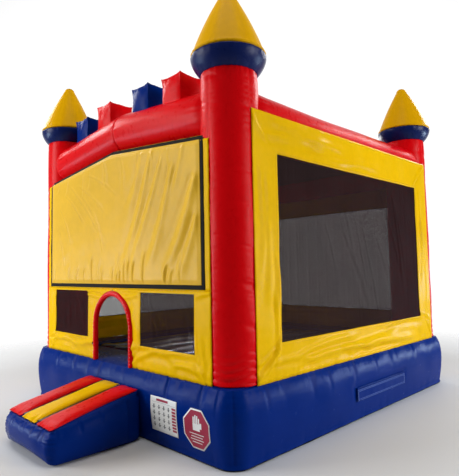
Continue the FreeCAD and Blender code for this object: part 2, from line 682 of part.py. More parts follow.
def anchors():
    """Four D-rings on webbing tabs, two on the left of the base and two at the back."""
    left_x = f"-({HALF_X} + ring_standoff)"
    back_y = f"({HALF_Y} + ring_standoff)"
    places = (
        ("left_front", left_x, "-anchor_y", 90), ("left_back", left_x, "anchor_y", 90),
        ("back_left", "-anchor_x", back_y, 0), ("back_right", "anchor_x", back_y, 0),
    )
    tabs = []
    for label, x, y, turn in places:
        about_z = FreeCAD.Rotation(FreeCAD.Vector(0, 0, 1), turn)
        d_ring = ring(f"d_ring_{label}")
        d_ring.Placement.Rotation = about_z
        node(f"d_ring_{label}", place(d_ring, x, y, "anchor_z"))
        piece = tab(f"tab_{label}")
        piece.Placement.Rotation = about_z
        tabs.append(place(piece, x, y, "anchor_z"))
    node("anchor_tabs", group("anchor_tabs", *tabs))


def export():
    """Check every object and write one STEP file for each sub-part."""
    doc.recompute()
    failed = [o.Label for o in doc.Objects if {"Invalid", "Error"} & set(o.State)]
    if failed:
        raise RuntimeError(f"objects that failed to recompute: {failed}")
    for label, obj in NODES.items():
        if obj.Shape.isNull() or not obj.Shape.isValid() or not obj.Shape.Solids:
            raise RuntimeError(f"{label} has no valid solid")
    os.makedirs("parts", exist_ok=True)
    for label, obj in sorted(NODES.items()):
        obj.Shape.exportStep(os.path.join("parts", f"{label}.step"))
        bounds = obj.Shape.BoundBox
        print(f"{label}: {len(obj.Shape.Solids)} solid(s), {obj.Shape.Volume / 1e9:.5f} m3, "
              f"z {bounds.ZMin:.0f} to {bounds.ZMax:.0f}")


base()
towers()
beams()
side_walls()
front_wall()
roof()
step()
signs()
deflation_port()
inlet()
anchors()
export()
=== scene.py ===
"""Finished look of an inflatable castle bounce house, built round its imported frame.

Everything is in metres with +Z up. The entrance faces -Y, and the origin is the centre of the base on
the ground. Inflated chambers are closed skins with gathered seams, and walls, nets and covers are
sheets with the folds that their seams pull into them.
"""
import json
import logging
import math
from dataclasses import dataclass, field
from enum import Enum
from typing import Callable, Iterable, Sequence

import bpy
import numpy as np
from mathutils import Matrix, Vector

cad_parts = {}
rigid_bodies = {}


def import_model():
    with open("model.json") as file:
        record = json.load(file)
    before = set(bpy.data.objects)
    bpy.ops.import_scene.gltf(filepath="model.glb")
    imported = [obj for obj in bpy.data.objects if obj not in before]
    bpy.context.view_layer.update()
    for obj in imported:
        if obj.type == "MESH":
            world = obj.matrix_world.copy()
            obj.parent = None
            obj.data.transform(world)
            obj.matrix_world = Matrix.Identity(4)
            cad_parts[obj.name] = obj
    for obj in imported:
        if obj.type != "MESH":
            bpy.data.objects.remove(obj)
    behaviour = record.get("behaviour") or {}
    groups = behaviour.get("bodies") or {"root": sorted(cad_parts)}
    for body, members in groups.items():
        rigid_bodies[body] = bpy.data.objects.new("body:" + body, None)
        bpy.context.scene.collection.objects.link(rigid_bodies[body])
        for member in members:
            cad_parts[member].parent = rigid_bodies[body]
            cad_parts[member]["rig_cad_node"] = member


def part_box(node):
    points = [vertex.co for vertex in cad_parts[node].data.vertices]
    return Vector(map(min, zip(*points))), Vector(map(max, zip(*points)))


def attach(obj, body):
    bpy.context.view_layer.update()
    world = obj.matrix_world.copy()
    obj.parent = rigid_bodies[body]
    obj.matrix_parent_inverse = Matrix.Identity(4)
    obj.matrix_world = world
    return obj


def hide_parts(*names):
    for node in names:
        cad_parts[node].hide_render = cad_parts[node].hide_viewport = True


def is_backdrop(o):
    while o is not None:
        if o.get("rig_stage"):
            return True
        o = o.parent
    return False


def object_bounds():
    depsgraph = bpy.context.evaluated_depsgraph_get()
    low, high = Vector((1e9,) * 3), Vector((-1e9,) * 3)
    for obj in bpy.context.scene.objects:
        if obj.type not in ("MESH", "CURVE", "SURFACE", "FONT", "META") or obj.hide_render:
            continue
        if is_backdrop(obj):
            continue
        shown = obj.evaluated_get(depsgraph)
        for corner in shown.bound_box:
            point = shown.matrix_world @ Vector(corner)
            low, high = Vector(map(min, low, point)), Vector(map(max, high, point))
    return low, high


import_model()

Array = np.ndarray
Pair = tuple[float, float]
Colour = tuple[float, float, float]
LOG = logging.getLogger("bounce_house")
HOUSE = "bounce_house"
CAD_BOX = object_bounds()
SKY = (0.62, 0.80, 1.0)


def low_high(node: str) -> tuple[Vector, Vector]:
    """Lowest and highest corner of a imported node.

    Args:
        node: Name of the node.

    Returns:
        The two corners.
    """
    low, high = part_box(node)
    return Vector(low), Vector(high)


def middle(node: str) -> Vector:
    """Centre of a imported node's box."""
    low, high = low_high(node)
    return (low + high) / 2


def smooth(x: Array) -> Array:
    """Smooth step of x clamped to 0..1."""
    t = np.clip(x, 0.0, 1.0)
    return t * t * (3 - 2 * t)


def hump(x: Array) -> Array:
    """Bell curve of height 1 and half width about 1."""
    return np.exp(-x ** 2)


def stack(*parts: Array) -> Array:
    """Arrays joined as the coordinates of one array of points."""
    return np.stack(parts, axis=-1)


def full_turn(steps: int) -> Array:
    """Evenly spaced angles of one turn."""
    return np.linspace(0, 2 * math.pi, steps, endpoint=False)


def off_seam(angle: Array, seam: float) -> Array:
    """Angle from a seam, between minus and plus half a turn."""
    return np.arctan2(np.sin(angle - seam), np.cos(angle - seam))


class Hold(Enum):
    """How a sheet is held."""

    STRETCHED = "stretched"
    HUNG = "hung"
    LAID = "laid"
    GATHERED = "gathered"


class Plane(Enum):
    """Vertical plane that a panel of the house lies in, by the side that it faces."""

    FRONT = (0.0, -1.0)
    BACK = (0.0, 1.0)
    LEFT = (-1.0, 0.0)
    RIGHT = (1.0, 0.0)

    def points(self, along: Array, z: Array, out: Array) -> Array:
        """Points of the plane.

        Args:
            along: Place along the world axis that the panel runs in.
            z: Heights.
            out: Distance from the house's centre in the direction the panel faces.

        Returns:
            Array of points, with x, y and z last.
        """
        x_out, y_out = self.value
        along, z, out = np.broadcast_arrays(along, z, out)
        if x_out:
            return stack(x_out * out, along, z)
        return stack(along, y_out * out, z)

    @property
    def flips(self) -> bool:
        """True where faces made in grid order would point inwards."""
        return self in (Plane.BACK, Plane.LEFT)


# ---------------- fields of wrinkles


@dataclass(frozen=True)
class Ripple:
    """Gentle uneven waves over a surface.

    Attributes:
        seed: Picks the waves.
        wavelength: Typical distance from crest to crest.
        height: Height of the waves.
        count: Number of waves that are added up.
    """

    seed: int
    wavelength: float
    height: float
    count: int = 7

    def at(self, points: Array) -> Array:
        """Height of the waves at each point."""
        rng = np.random.default_rng(self.seed)
        total = np.zeros(points.shape[:-1])
        for _ in range(self.count):
            way = rng.normal(size=points.shape[-1])
            way *= 2 * math.pi / (np.linalg.norm(way) * self.wavelength * rng.uniform(0.7, 1.6))
            total += np.sin(points @ way + rng.uniform(0, 2 * math.pi))
        return self.height * total / math.sqrt(self.count)


@dataclass(frozen=True)
class Gathers:
    """Short creases across a seam, at uneven spacing.

    Attributes:
        seed: Picks the creases.
        length: Length of the seam.
        spacing: Mean distance between creases.
        width: Half width of one crease.
        depth: Depth of the deepest crease.
    """

    seed: int
    length: float
    spacing: float
    width: float
    depth: float

    def at(self, place: Array) -> Array:
        """Depth of the creases at each place along the seam, zero or less."""
        rng = np.random.default_rng(self.seed)
        total = np.zeros(place.shape)
        where = 0.0
        while where < self.length:
            wide = self.width * rng.uniform(0.6, 1.5)
            total -= self.depth * rng.uniform(0.15, 1.0) * hump((place - where) / wide)
            where += self.spacing * rng.uniform(0.35, 1.9)
        return total


@dataclass(frozen=True)
class Fold:
    """One long fold of a sheet, from start to end in the sheet's plane.

    Attributes:
        start: First end, as place along the panel and height.
        end: Other end.
        width: Half width of the fold.
        height: How far it stands out, or in if it is negative.
    """

    start: Pair
    end: Pair
    width: float
    height: float

    def at(self, along: Array, z: Array) -> Array:
        """Height of the fold at each place of the sheet."""
        run = np.subtract(self.end, self.start)
        length = float(np.hypot(*run))
        run = run / length
        u, v = along - self.start[0], z - self.start[1]
        t = (u * run[0] + v * run[1]) / length
        bow = 0.035 * np.sin(np.clip(t, 0, 1) * math.pi)
        across = u * run[1] - v * run[0] + bow
        wide = self.width * (0.45 + 0.75 * np.clip(t, 0, 1))
        fade = smooth(t / 0.12) * smooth((1 - t) / 0.3)
        ridge = hump(across / wide) - 0.6 * hump((across - 1.7 * wide) / wide)
        return self.height * fade * ridge


def fold_field(folds: Iterable[Fold], along: Array, z: Array) -> Array:
    """Sum of several folds."""
    total = np.zeros(np.broadcast(along, z).shape)
    for fold in folds:
        total = total + fold.at(along, z)
    return total


# ---------------- meshes


@dataclass
class Skin:
    """Vertices and faces gathered before they become one object."""

    vertices: list[tuple[float, float, float]] = field(default_factory=list)
    faces: list[tuple[int, ...]] = field(default_factory=list)

    def grid(self, points: Array, wrap_rows: bool = False, wrap_columns: bool = False,
             keep: Array | None = None, flip: bool = False) -> "Skin":
        """Add a net of four-sided faces.

        Args:
            points: Points by row and column.
            wrap_rows: Join the last row to the first.
            wrap_columns: Join the last column to the first.
            keep: Which cells to make, by row and column; all of them if missing.
            flip: Turn the faces over.

        Returns:
            This skin.
        """
        rows, columns = points.shape[:2]
        first = len(self.vertices)
        self.vertices.extend(map(tuple, points.reshape(-1, 3).tolist()))
        for i in range(rows if wrap_rows else rows - 1):
            below = first + i * columns
            above = first + ((i + 1) % rows) * columns
            for j in range(columns if wrap_columns else columns - 1):
                if keep is not None and not keep[i, j]:
                    continue
                k = (j + 1) % columns
                corners = (below + j, below + k, above + k, above + j)
                self.faces.append(corners[::-1] if flip else corners)
        return self

    def cap(self, start: int, count: int, flip: bool = False) -> "Skin":
        """Close a ring of vertices with a fan about its centre.

        Args:
            start: First vertex of the ring.
            count: Vertices in the ring.
            flip: Turn the faces over.

        Returns:
            This skin.
        """
        ring = self.vertices[start:start + count]
        self.vertices.append(tuple(np.mean(ring, axis=0)))
        hub = len(self.vertices) - 1
        for j in range(count):
            face = (start + j, start + (j + 1) % count, hub)
            self.faces.append(face[::-1] if flip else face)
        return self

    def closed_tube(self, points: Array, flip: bool = False) -> "Skin":
        """Add a tube given by rings, with both ends closed."""
        first = len(self.vertices)
        rings, around = points.shape[:2]
        self.grid(points, wrap_columns=True, flip=flip)
        self.cap(first, around, not flip)
        return self.cap(first + (rings - 1) * around, around, flip)

    def bar(self, centre: Vector, along: Vector, face: Vector, size: Colour) -> "Skin":
        """Add a small block with slightly domed ends, such as a stitch or a buckle bar.

        Args:
            centre: Middle of the block.
            along: Direction of its length.
            face: Direction it faces, about square to along.
            size: Length, width and thickness.

        Returns:
            This skin.
        """
        a = along.normalized()
        w = face.cross(a).normalized()
        n = a.cross(w).normalized()
        length, width, thick = (s / 2 for s in size)
        ring = [(-1, 0.6), (-0.8, 1), (0.8, 1), (1, 0.6)]
        rows = []
        for t, s in ring:
            rows.append([tuple(centre + a * (t * length) + w * (u * s * width) + n * (v * s * thick))
                         for u, v in ((-1, -1), (1, -1), (1, 1), (-1, 1))])
        return self.closed_tube(np.array(rows), flip=True)

    def build(self, name: str, finish: bpy.types.Material, slot: str, *nodes: str, thickness: float = 0.0,
              body: str = HOUSE, fill: float | None = None) -> bpy.types.Object:
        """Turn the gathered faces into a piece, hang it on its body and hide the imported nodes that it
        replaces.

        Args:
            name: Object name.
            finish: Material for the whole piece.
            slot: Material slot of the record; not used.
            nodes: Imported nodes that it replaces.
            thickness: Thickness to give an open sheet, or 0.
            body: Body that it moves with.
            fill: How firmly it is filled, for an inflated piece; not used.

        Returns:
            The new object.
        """
        mesh = bpy.data.meshes.new(name)
        mesh.from_pydata(self.vertices, [], self.faces)
        mesh.validate()
        mesh.polygons.foreach_set("use_smooth", [True] * len(mesh.polygons))
        mesh.materials.append(finish)
        obj = bpy.data.objects.new(name, mesh)
        bpy.context.scene.collection.objects.link(obj)
        if thickness:
            shell = obj.modifiers.new("cloth", "SOLIDIFY")
            shell.thickness, shell.offset = thickness, 0.0
        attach(obj, body)
        if nodes:
            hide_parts(*nodes)
        LOG.info("%s: %d faces on %s", name, len(mesh.polygons), body)
        return obj


def stitch_run(skin: Skin, points: Sequence[Vector], face: Vector, pitch: float = 0.011,
               size: Colour = (0.0075, 0.0018, 0.0012)) -> None:
    """Sew a row of stitches along a line.

    Args:
        skin: Skin that gathers the stitches.
        points: Line to follow.
        face: Direction that the sewn surface faces.
        pitch: Distance from stitch to stitch.
        size: Length, width and thickness of a stitch.
    """
    carried = 0.0
    for a, b in zip(points, points[1:]):
        run = b - a
        length = run.length
        if length < 1e-6:
            continue
        while carried < length:
            skin.bar(a + run * (carried / length), run, face, size)
            carried += pitch
        carried -= length


# ---------------- finishes


class Wiring:
    """Short-hand for adding shader nodes to a tree and joining them."""

    def __init__(self, tree: bpy.types.NodeTree) -> None:
        """Start with the tree's nodes cleared.

        Args:
            tree: Tree to fill.
        """
        self.tree = tree
        tree.nodes.clear()

    def add(self, kind: str, settings: dict | None = None, **inputs: object) -> bpy.types.Node:
        """Add a node.

        Args:
            kind: Blender's type name without its ShaderNode prefix, or a full name.
            settings: Properties of the node.
            inputs: Values or sockets for its inputs, as fill takes them.

        Returns:
            The node.
        """
        full = kind if kind.startswith("Node") else f"ShaderNode{kind}"
        node = self.tree.nodes.new(full)
        for key, value in (settings or {}).items():
            setattr(node, key, value)
        self.fill(node, **inputs)
        return node

    def fill(self, node: bpy.types.Node, **inputs: object) -> None:
        """Join sockets to a node's inputs, or set their values.

        Args:
            node: Node to fill.
            inputs: Values or sockets for its inputs, by name with _ for a space, or by _index.
        """
        for key, value in inputs.items():
            socket = node.inputs[int(key[1:])] if key[0] == "_" else node.inputs[key.replace("_", " ")]
            if isinstance(value, bpy.types.NodeSocket):
                self.tree.links.new(value, socket)
            else:
                socket.default_value = value

    def maths(self, operation: str, a: object, b: object = 0.0, clamp: bool = False) -> object:
        """Output of a math node with two inputs."""
        return self.add("Math", {"operation": operation, "use_clamp": clamp}, _0=a, _1=b).outputs[0]

    def blend(self, factor: object, a: object, b: object, mode: str = "MIX") -> object:
        """Output of a colour mix node."""
        node = self.add("Mix", {"data_type": "RGBA", "blend_type": mode}, _0=factor, _6=a, _7=b)
        return node.outputs[2]

    def ramp(self, value: object, low: float, high: float, start: float = 0.0, end: float = 1.0) -> object:
        """Output of a clamped range from low..high to start..end."""
        return self.add("MapRange", {"clamp": True}, Value=value, From_Min=low, From_Max=high,
                        To_Min=start, To_Max=end).outputs[0]

    def noise(self, where: object, scale: float, detail: float = 3.0, warp: float = 0.0) -> object:
        """Output of a noise texture."""
        return self.add("TexNoise", None, Vector=where, Scale=scale, Detail=detail,
                        Distortion=warp).outputs[0]


def new_group(name: str, inputs: dict[str, object], outputs: dict[str, str]
              ) -> tuple[bpy.types.NodeTree, Wiring, bpy.types.Node]:
    """Start a shader node group with named sockets.

    Args:
        name: Group name.
        inputs: Default value of each input; a tuple makes a colour socket.
        outputs: Socket type of each output.

    Returns:
        The group, its wiring and its input node.
    """
    group = bpy.data.node_groups.new(name, "ShaderNodeTree")
    for label, value in inputs.items():
        kind = "NodeSocketColor" if isinstance(value, tuple) else "NodeSocketFloat"
        socket = group.interface.new_socket(name=label, in_out="INPUT", socket_type=kind)
        socket.default_value = value
    for label, kind in outputs.items():
        group.interface.new_socket(name=label, in_out="OUTPUT", socket_type=kind)
    wiring = Wiring(group)
    return group, wiring, wiring.add("NodeGroupInput")


def coated_cloth_group() -> bpy.types.NodeTree:
    """Surface of vinyl-coated cloth: scrim, crinkle, uneven tone, scuffs and ground dust."""
    group, w, given = new_group(
        "coated_cloth",
        {"Tint": (0.8, 0.8, 0.8, 1.0), "Gloss": 0.35, "Crinkle": 1.0, "Dust": 0.2, "Scrim": 1.0},
        {"Tone": "NodeSocketColor", "Polish": "NodeSocketFloat", "Relief": "NodeSocketFloat"})
    where = w.add("TexCoord").outputs["Object"]
    parts = w.add("SeparateXYZ", None, Vector=where)
    broad = w.noise(where, 0.9, 2.0)
    fine = w.noise(where, 17.0, 5.0, 0.3)
    tone = w.maths("ADD", w.ramp(broad, 0.3, 0.7, 0.90, 1.03), w.ramp(fine, 0.3, 0.7, -0.03, 0.03))
    tinted = w.add("HueSaturation", None, Value=tone, Color=given.outputs["Tint"]).outputs[0]
    scuff = w.ramp(w.noise(where, 42.0, 8.0, 1.5), 0.66, 0.80)
    low = w.ramp(parts.outputs["Z"], 0.02, 0.34, 1.0, 0.0)
    grime = w.maths("MULTIPLY", low, w.ramp(w.noise(where, 9.0, 6.0, 0.8), 0.38, 0.68))
    dusty = w.maths("MULTIPLY", w.maths("ADD", grime, w.maths("MULTIPLY", scuff, 0.25)),
                    given.outputs["Dust"], clamp=True)
    tone_out = w.blend(dusty, tinted, (0.42, 0.38, 0.32, 1.0))
    polish = w.maths("ADD", given.outputs["Gloss"], w.maths(
        "ADD", w.ramp(fine, 0.25, 0.75, -0.02, 0.03), w.maths("MULTIPLY", dusty, 0.5)), clamp=True)
    slant = w.maths("ADD", parts.outputs["X"], parts.outputs["Y"])
    threads = []
    for run in (slant, parts.outputs["Z"]):
        threads.append(w.maths("SINE", w.maths("MULTIPLY", run, 2 * math.pi / 0.0024)))
    scrim = w.maths("MULTIPLY", w.maths("MULTIPLY", *threads), given.outputs["Scrim"])
    crinkle = w.maths("ADD", w.noise(where, 5.5, 3.0, 0.5),
                      w.maths("MULTIPLY", w.noise(where, 19.0, 3.0, 0.9), 0.28))
    relief = w.maths("ADD", w.maths("MULTIPLY", crinkle, given.outputs["Crinkle"]),
                     w.maths("MULTIPLY", scrim, 0.006))
    w.add("NodeGroupOutput", None, Tone=tone_out, Polish=polish, Relief=relief)
    return group


def net_group() -> bpy.types.NodeTree:
    """Knotless net: yarn mask and the rounded height of its yarns."""
    group, w, given = new_group("knotless_net", {"Pitch": 0.005, "Yarn": 0.55},
                                {"Yarns": "NodeSocketFloat", "Relief": "NodeSocketFloat"})
    where = w.add("TexCoord").outputs["Object"]
    parts = w.add("SeparateXYZ", None, Vector=where)
    slack = w.maths("MULTIPLY", w.noise(where, 9.0, 2.0), 0.05)
    across = w.maths("ADD", w.maths("ADD", parts.outputs["X"], parts.outputs["Y"]), slack)
    masks, rounds = [], []
    for run in (across, w.maths("SUBTRACT", parts.outputs["Z"], slack)):
        cell = w.maths("FRACT", w.maths("DIVIDE", run, given.outputs["Pitch"]))
        masks.append(w.maths("LESS_THAN", cell, given.outputs["Yarn"]))
        rounds.append(w.maths("SINE", w.maths("MULTIPLY", cell, math.pi)))
    w.add("NodeGroupOutput", None, Yarns=w.maths("MAXIMUM", *masks), Relief=w.maths("MAXIMUM", *rounds))
    return group


def webbing_group() -> bpy.types.NodeTree:
    """Woven tape: ribs across its width with a little fuzz."""
    group, w, given = new_group("woven_tape", {"Tint": (0.02, 0.02, 0.02, 1.0), "Rib": 0.002},
                                {"Tone": "NodeSocketColor", "Relief": "NodeSocketFloat"})
    where = w.add("TexCoord").outputs["Object"]
    parts = w.add("SeparateXYZ", None, Vector=where)
    total = w.maths("ADD", parts.outputs["X"], parts.outputs["Y"])
    ribs = []
    for sign in (1.0, -1.0):
        run = w.maths("ADD", w.maths("MULTIPLY", parts.outputs["Z"], sign), total)
        turn = w.maths("DIVIDE", run, given.outputs["Rib"])
        ribs.append(w.maths("SINE", w.maths("MULTIPLY", turn, 2 * math.pi)))
    weave = w.maths("MAXIMUM", *ribs)
    shade = w.ramp(w.maths("ADD", weave, w.noise(where, 180.0, 4.0)), -0.4, 1.6, 0.65, 1.25)
    tone = w.add("HueSaturation", None, Value=shade, Color=given.outputs["Tint"]).outputs[0]
    w.add("NodeGroupOutput", None, Tone=tone, Relief=weave)
    return group


def wear_group() -> bpy.types.NodeTree:
    """Plated metal: fine brushing and dull blotches."""
    group, w, given = new_group("plated_metal", {"Tint": (0.6, 0.6, 0.6, 1.0), "Gloss": 0.3},
                                {"Tone": "NodeSocketColor", "Polish": "NodeSocketFloat"})
    where = w.add("TexCoord").outputs["Object"]
    blotch = w.noise(where, 60.0, 6.0, 0.6)
    tone = w.add("HueSaturation", None, Value=w.ramp(blotch, 0.3, 0.75, 1.05, 0.7),
                 Color=given.outputs["Tint"]).outputs[0]
    polish = w.maths("ADD", given.outputs["Gloss"], w.ramp(blotch, 0.35, 0.75, -0.08, 0.25))
    w.add("NodeGroupOutput", None, Tone=tone, Polish=polish)
    return group


def new_material(name: str, group: bpy.types.NodeTree) -> tuple[
        bpy.types.Material, Wiring, bpy.types.Node, bpy.types.Node]:
    """Start a material with a shader and one group.

    Args:
        name: Material name.
        group: Group to place in it.

    Returns:
        The material, its wiring, its shader node and the group node.
    """
    material = bpy.data.materials.new(name)
    material.use_nodes = True
    w = Wiring(material.node_tree)
    shader = w.add("BsdfPrincipled")
    w.add("OutputMaterial", None, Surface=shader.outputs[0])
    return material, w, shader, w.add("Group", {"node_tree": group})


@dataclass(frozen=True)
class CoatedCloth:
    """Vinyl-coated cloth.

    Attributes:
        name: Finish name.
        tint: Base colour.
        gloss: Roughness of the coating.
        crinkle: Depth of its fine crinkles, 1 for inflated skin.
        dust: Dust and scuffs, 0 to 1.
        coat: Weight of the clear top coat.
        shine: Strength of its reflections.
    """

    name: str
    tint: Colour
    gloss: float = 0.30
    crinkle: float = 0.12
    dust: float = 0.015
    coat: float = 0.03
    shine: float = 0.27

    def build(self, group: bpy.types.NodeTree) -> bpy.types.Material:
        """Make the material.

        Args:
            group: The coated cloth group.

        Returns:
            The material.
        """
        material, w, shader, cloth = new_material(self.name, group)
        w.fill(cloth, Tint=(*self.tint, 1.0), Gloss=self.gloss, Crinkle=self.crinkle, Dust=self.dust)
        bump = w.add("Bump", None, Height=cloth.outputs["Relief"], Strength=1.0, Distance=0.012)
        w.fill(shader, Base_Color=cloth.outputs["Tone"], Roughness=cloth.outputs["Polish"],
               Normal=bump.outputs[0], Coat_Weight=self.coat, Coat_Roughness=0.22,
               Specular_IOR_Level=self.shine)
        return material


@dataclass(frozen=True)
class Net:
    """Knotless safety net that light passes through between the yarns."""

    name: str
    tint: Colour

    def build(self, group: bpy.types.NodeTree) -> bpy.types.Material:
        """Make the material from the net group."""
        material, w, shader, net = new_material(self.name, group)
        fuzz = w.noise(w.add("TexCoord").outputs["Object"], 3.0, 3.0)
        tone = w.blend(w.ramp(fuzz, 0.3, 0.7), (*self.tint, 1.0), (*(1.35 * c for c in self.tint), 1.0))
        bump = w.add("Bump", None, Height=net.outputs["Relief"], Strength=0.4, Distance=0.001)
        w.fill(shader, Base_Color=tone, Alpha=net.outputs["Yarns"], Normal=bump.outputs[0], Roughness=0.66,
               Specular_IOR_Level=0.02)
        return material


@dataclass(frozen=True)
class Webbing:
    """Woven tape or hook-and-loop strip."""

    name: str
    tint: Colour
    rib: float = 0.002

    def build(self, group: bpy.types.NodeTree) -> bpy.types.Material:
        """Make the material from the webbing group."""
        material, w, shader, tape = new_material(self.name, group)
        w.fill(tape, Tint=(*self.tint, 1.0), Rib=self.rib)
        bump = w.add("Bump", None, Height=tape.outputs["Relief"], Strength=0.5, Distance=0.0008)
        w.fill(shader, Base_Color=tape.outputs["Tone"], Normal=bump.outputs[0], Roughness=0.8,
               Specular_IOR_Level=0.15)
        return material


@dataclass(frozen=True)
class Plated:
    """Plated metal."""

    name: str
    tint: Colour
    gloss: float = 0.28

    def build(self, group: bpy.types.NodeTree) -> bpy.types.Material:
        """Make the material from the plated metal group."""
        material, w, shader, metal = new_material(self.name, group)
        w.fill(metal, Tint=(*self.tint, 1.0), Gloss=self.gloss)
        w.fill(shader, Base_Color=metal.outputs["Tone"], Roughness=metal.outputs["Polish"], Metallic=1.0)
        return material


class Palette:
    """Every finish of the house, made once."""

    def __init__(self) -> None:
        """Build the shared groups and the materials."""
        cloth, net = coated_cloth_group(), net_group()
        tape, metal = webbing_group(), wear_group()
        self.red = CoatedCloth("red_vinyl", (0.72, 0.0012, 0.004), 0.28, 0.06, coat=0.0,
                               shine=0.07).build(cloth)
        self.yellow = CoatedCloth("yellow_vinyl", (0.85, 0.49, 0.001), 0.24, 0.14, 0.002, 0.0,
                                  0.025).build(cloth)
        self.spire = CoatedCloth("spire_vinyl", (0.74, 0.38, 0.001), 0.34, dust=0.003, coat=0.0,
                                 shine=0.04).build(cloth)
        self.blue = CoatedCloth("blue_vinyl", (0.0003, 0.018, 0.170), 0.25, 0.04, 0.0, 0.0,
                                0.035).build(cloth)
        self.collar = CoatedCloth("collar_vinyl", (0.004, 0.012, 0.090), 0.28, dust=0.002, coat=0.0,
                                  shine=0.15).build(cloth)
        self.black = CoatedCloth("black_vinyl", (0.005, 0.005, 0.006), 0.20, 0.03, 0.002, 0.0,
                                 0.5).build(cloth)
        # roof tint: a dark brownish colour that is painted shade, standing in for the roof's shaded
        # underside
        self.roof = CoatedCloth("roof_cloth", (0.030, 0.018, 0.022), 0.6, 0.3, 0.1, 0.0).build(cloth)
        # banner tint: its own printed yellow, washed paler towards white as painted reflection of the haze
        # it catches
        self.banner = CoatedCloth("banner_vinyl", (0.79, 0.46, 0.030), 0.34, 0.2, 0.02, 0.0,
                                  0.10).build(cloth)
        self.white = CoatedCloth("placard_white", (0.78, 0.78, 0.76), 0.42, 0.1, 0.1).build(cloth)
        self.grey = CoatedCloth("print_grey", (0.10, 0.11, 0.12), 0.45, 0.1, 0.1).build(cloth)
        self.sign = CoatedCloth("sign_red", (0.33, 0.018, 0.050), 0.42, 0.1, 0.1).build(cloth)
        self.net = Net("net", (0.019, 0.009, 0.009)).build(net)
        self.tape = Webbing("black_webbing", (0.018, 0.018, 0.019), 0.0022).build(tape)
        self.hook = Webbing("hook_and_loop", (0.010, 0.009, 0.008), 0.0013).build(tape)
        self.thread_yellow = Webbing("yellow_thread", (0.62, 0.36, 0.03), 0.001).build(tape)
        # white thread: real stitching on the anchor tabs, and also the painted glints along the door trim
        self.thread_and_glint_white = Webbing("white_thread", (0.75, 0.72, 0.68), 0.001).build(tape)
        self.thread_blue = Webbing("blue_thread", (0.16, 0.24, 0.52), 0.001).build(tape)
        self.steel = Plated("ring_steel", (0.62, 0.62, 0.62)).build(metal)
        self.zip = Plated("zip_metal", (0.5, 0.48, 0.44), 0.34).build(metal)


# ---------------- base


def rounded_rectangle(half_x: float, half_y: float, radius: float, steps: tuple[int, int, int]) -> Array:
    """Points round a rounded rectangle, anticlockwise from its front right corner.

    Args:
        half_x: Half its width.
        half_y: Half its depth.
        radius: Corner radius.
        steps: Steps along a side in Y, along a side in X, and round a corner.

    Returns:
        Array of x and y.
    """
    along_y, along_x, turn = steps
    points: list[Pair] = []
    for index, (sx, sy) in enumerate(((1, -1), (1, 1), (-1, 1), (-1, -1))):
        centre = np.array([sx * (half_x - radius), sy * (half_y - radius)])
        angles = np.radians(90 * index - 90) + np.linspace(0, math.pi / 2, turn + 1)
        arc = centre + radius * stack(np.cos(angles), np.sin(angles))
        points.extend(map(tuple, arc))
        nx, ny = ((1, 1), (-1, 1), (-1, -1), (1, -1))[index]
        after = np.array([nx * (half_x - radius), ny * (half_y - radius)])
        angle = angles[-1]
        following = after + radius * np.array([math.cos(angle), math.sin(angle)])
        count = along_y if index % 2 == 0 else along_x
        share = np.linspace(0, 1, count + 1)[1:-1, None]
        points.extend(map(tuple, arc[-1] + (following - arc[-1]) * share))
    return np.array(points)


def loop_places(loop: Array) -> tuple[Array, float]:
    """Place of each point along a closed loop, and the loop's length."""
    step = np.linalg.norm(np.roll(loop, -1, axis=0) - loop, axis=1)
    return np.concatenate([[0.0], np.cumsum(step)[:-1]]), float(step.sum())


def outward(loop: Array) -> Array:
    """Direction out of an anticlockwise loop at each of its points."""
    run = np.roll(loop, -1, axis=0) - np.roll(loop, 1, axis=0)
    run /= np.linalg.norm(run, axis=1)[:, None]
    return np.column_stack([run[:, 1], -run[:, 0]])


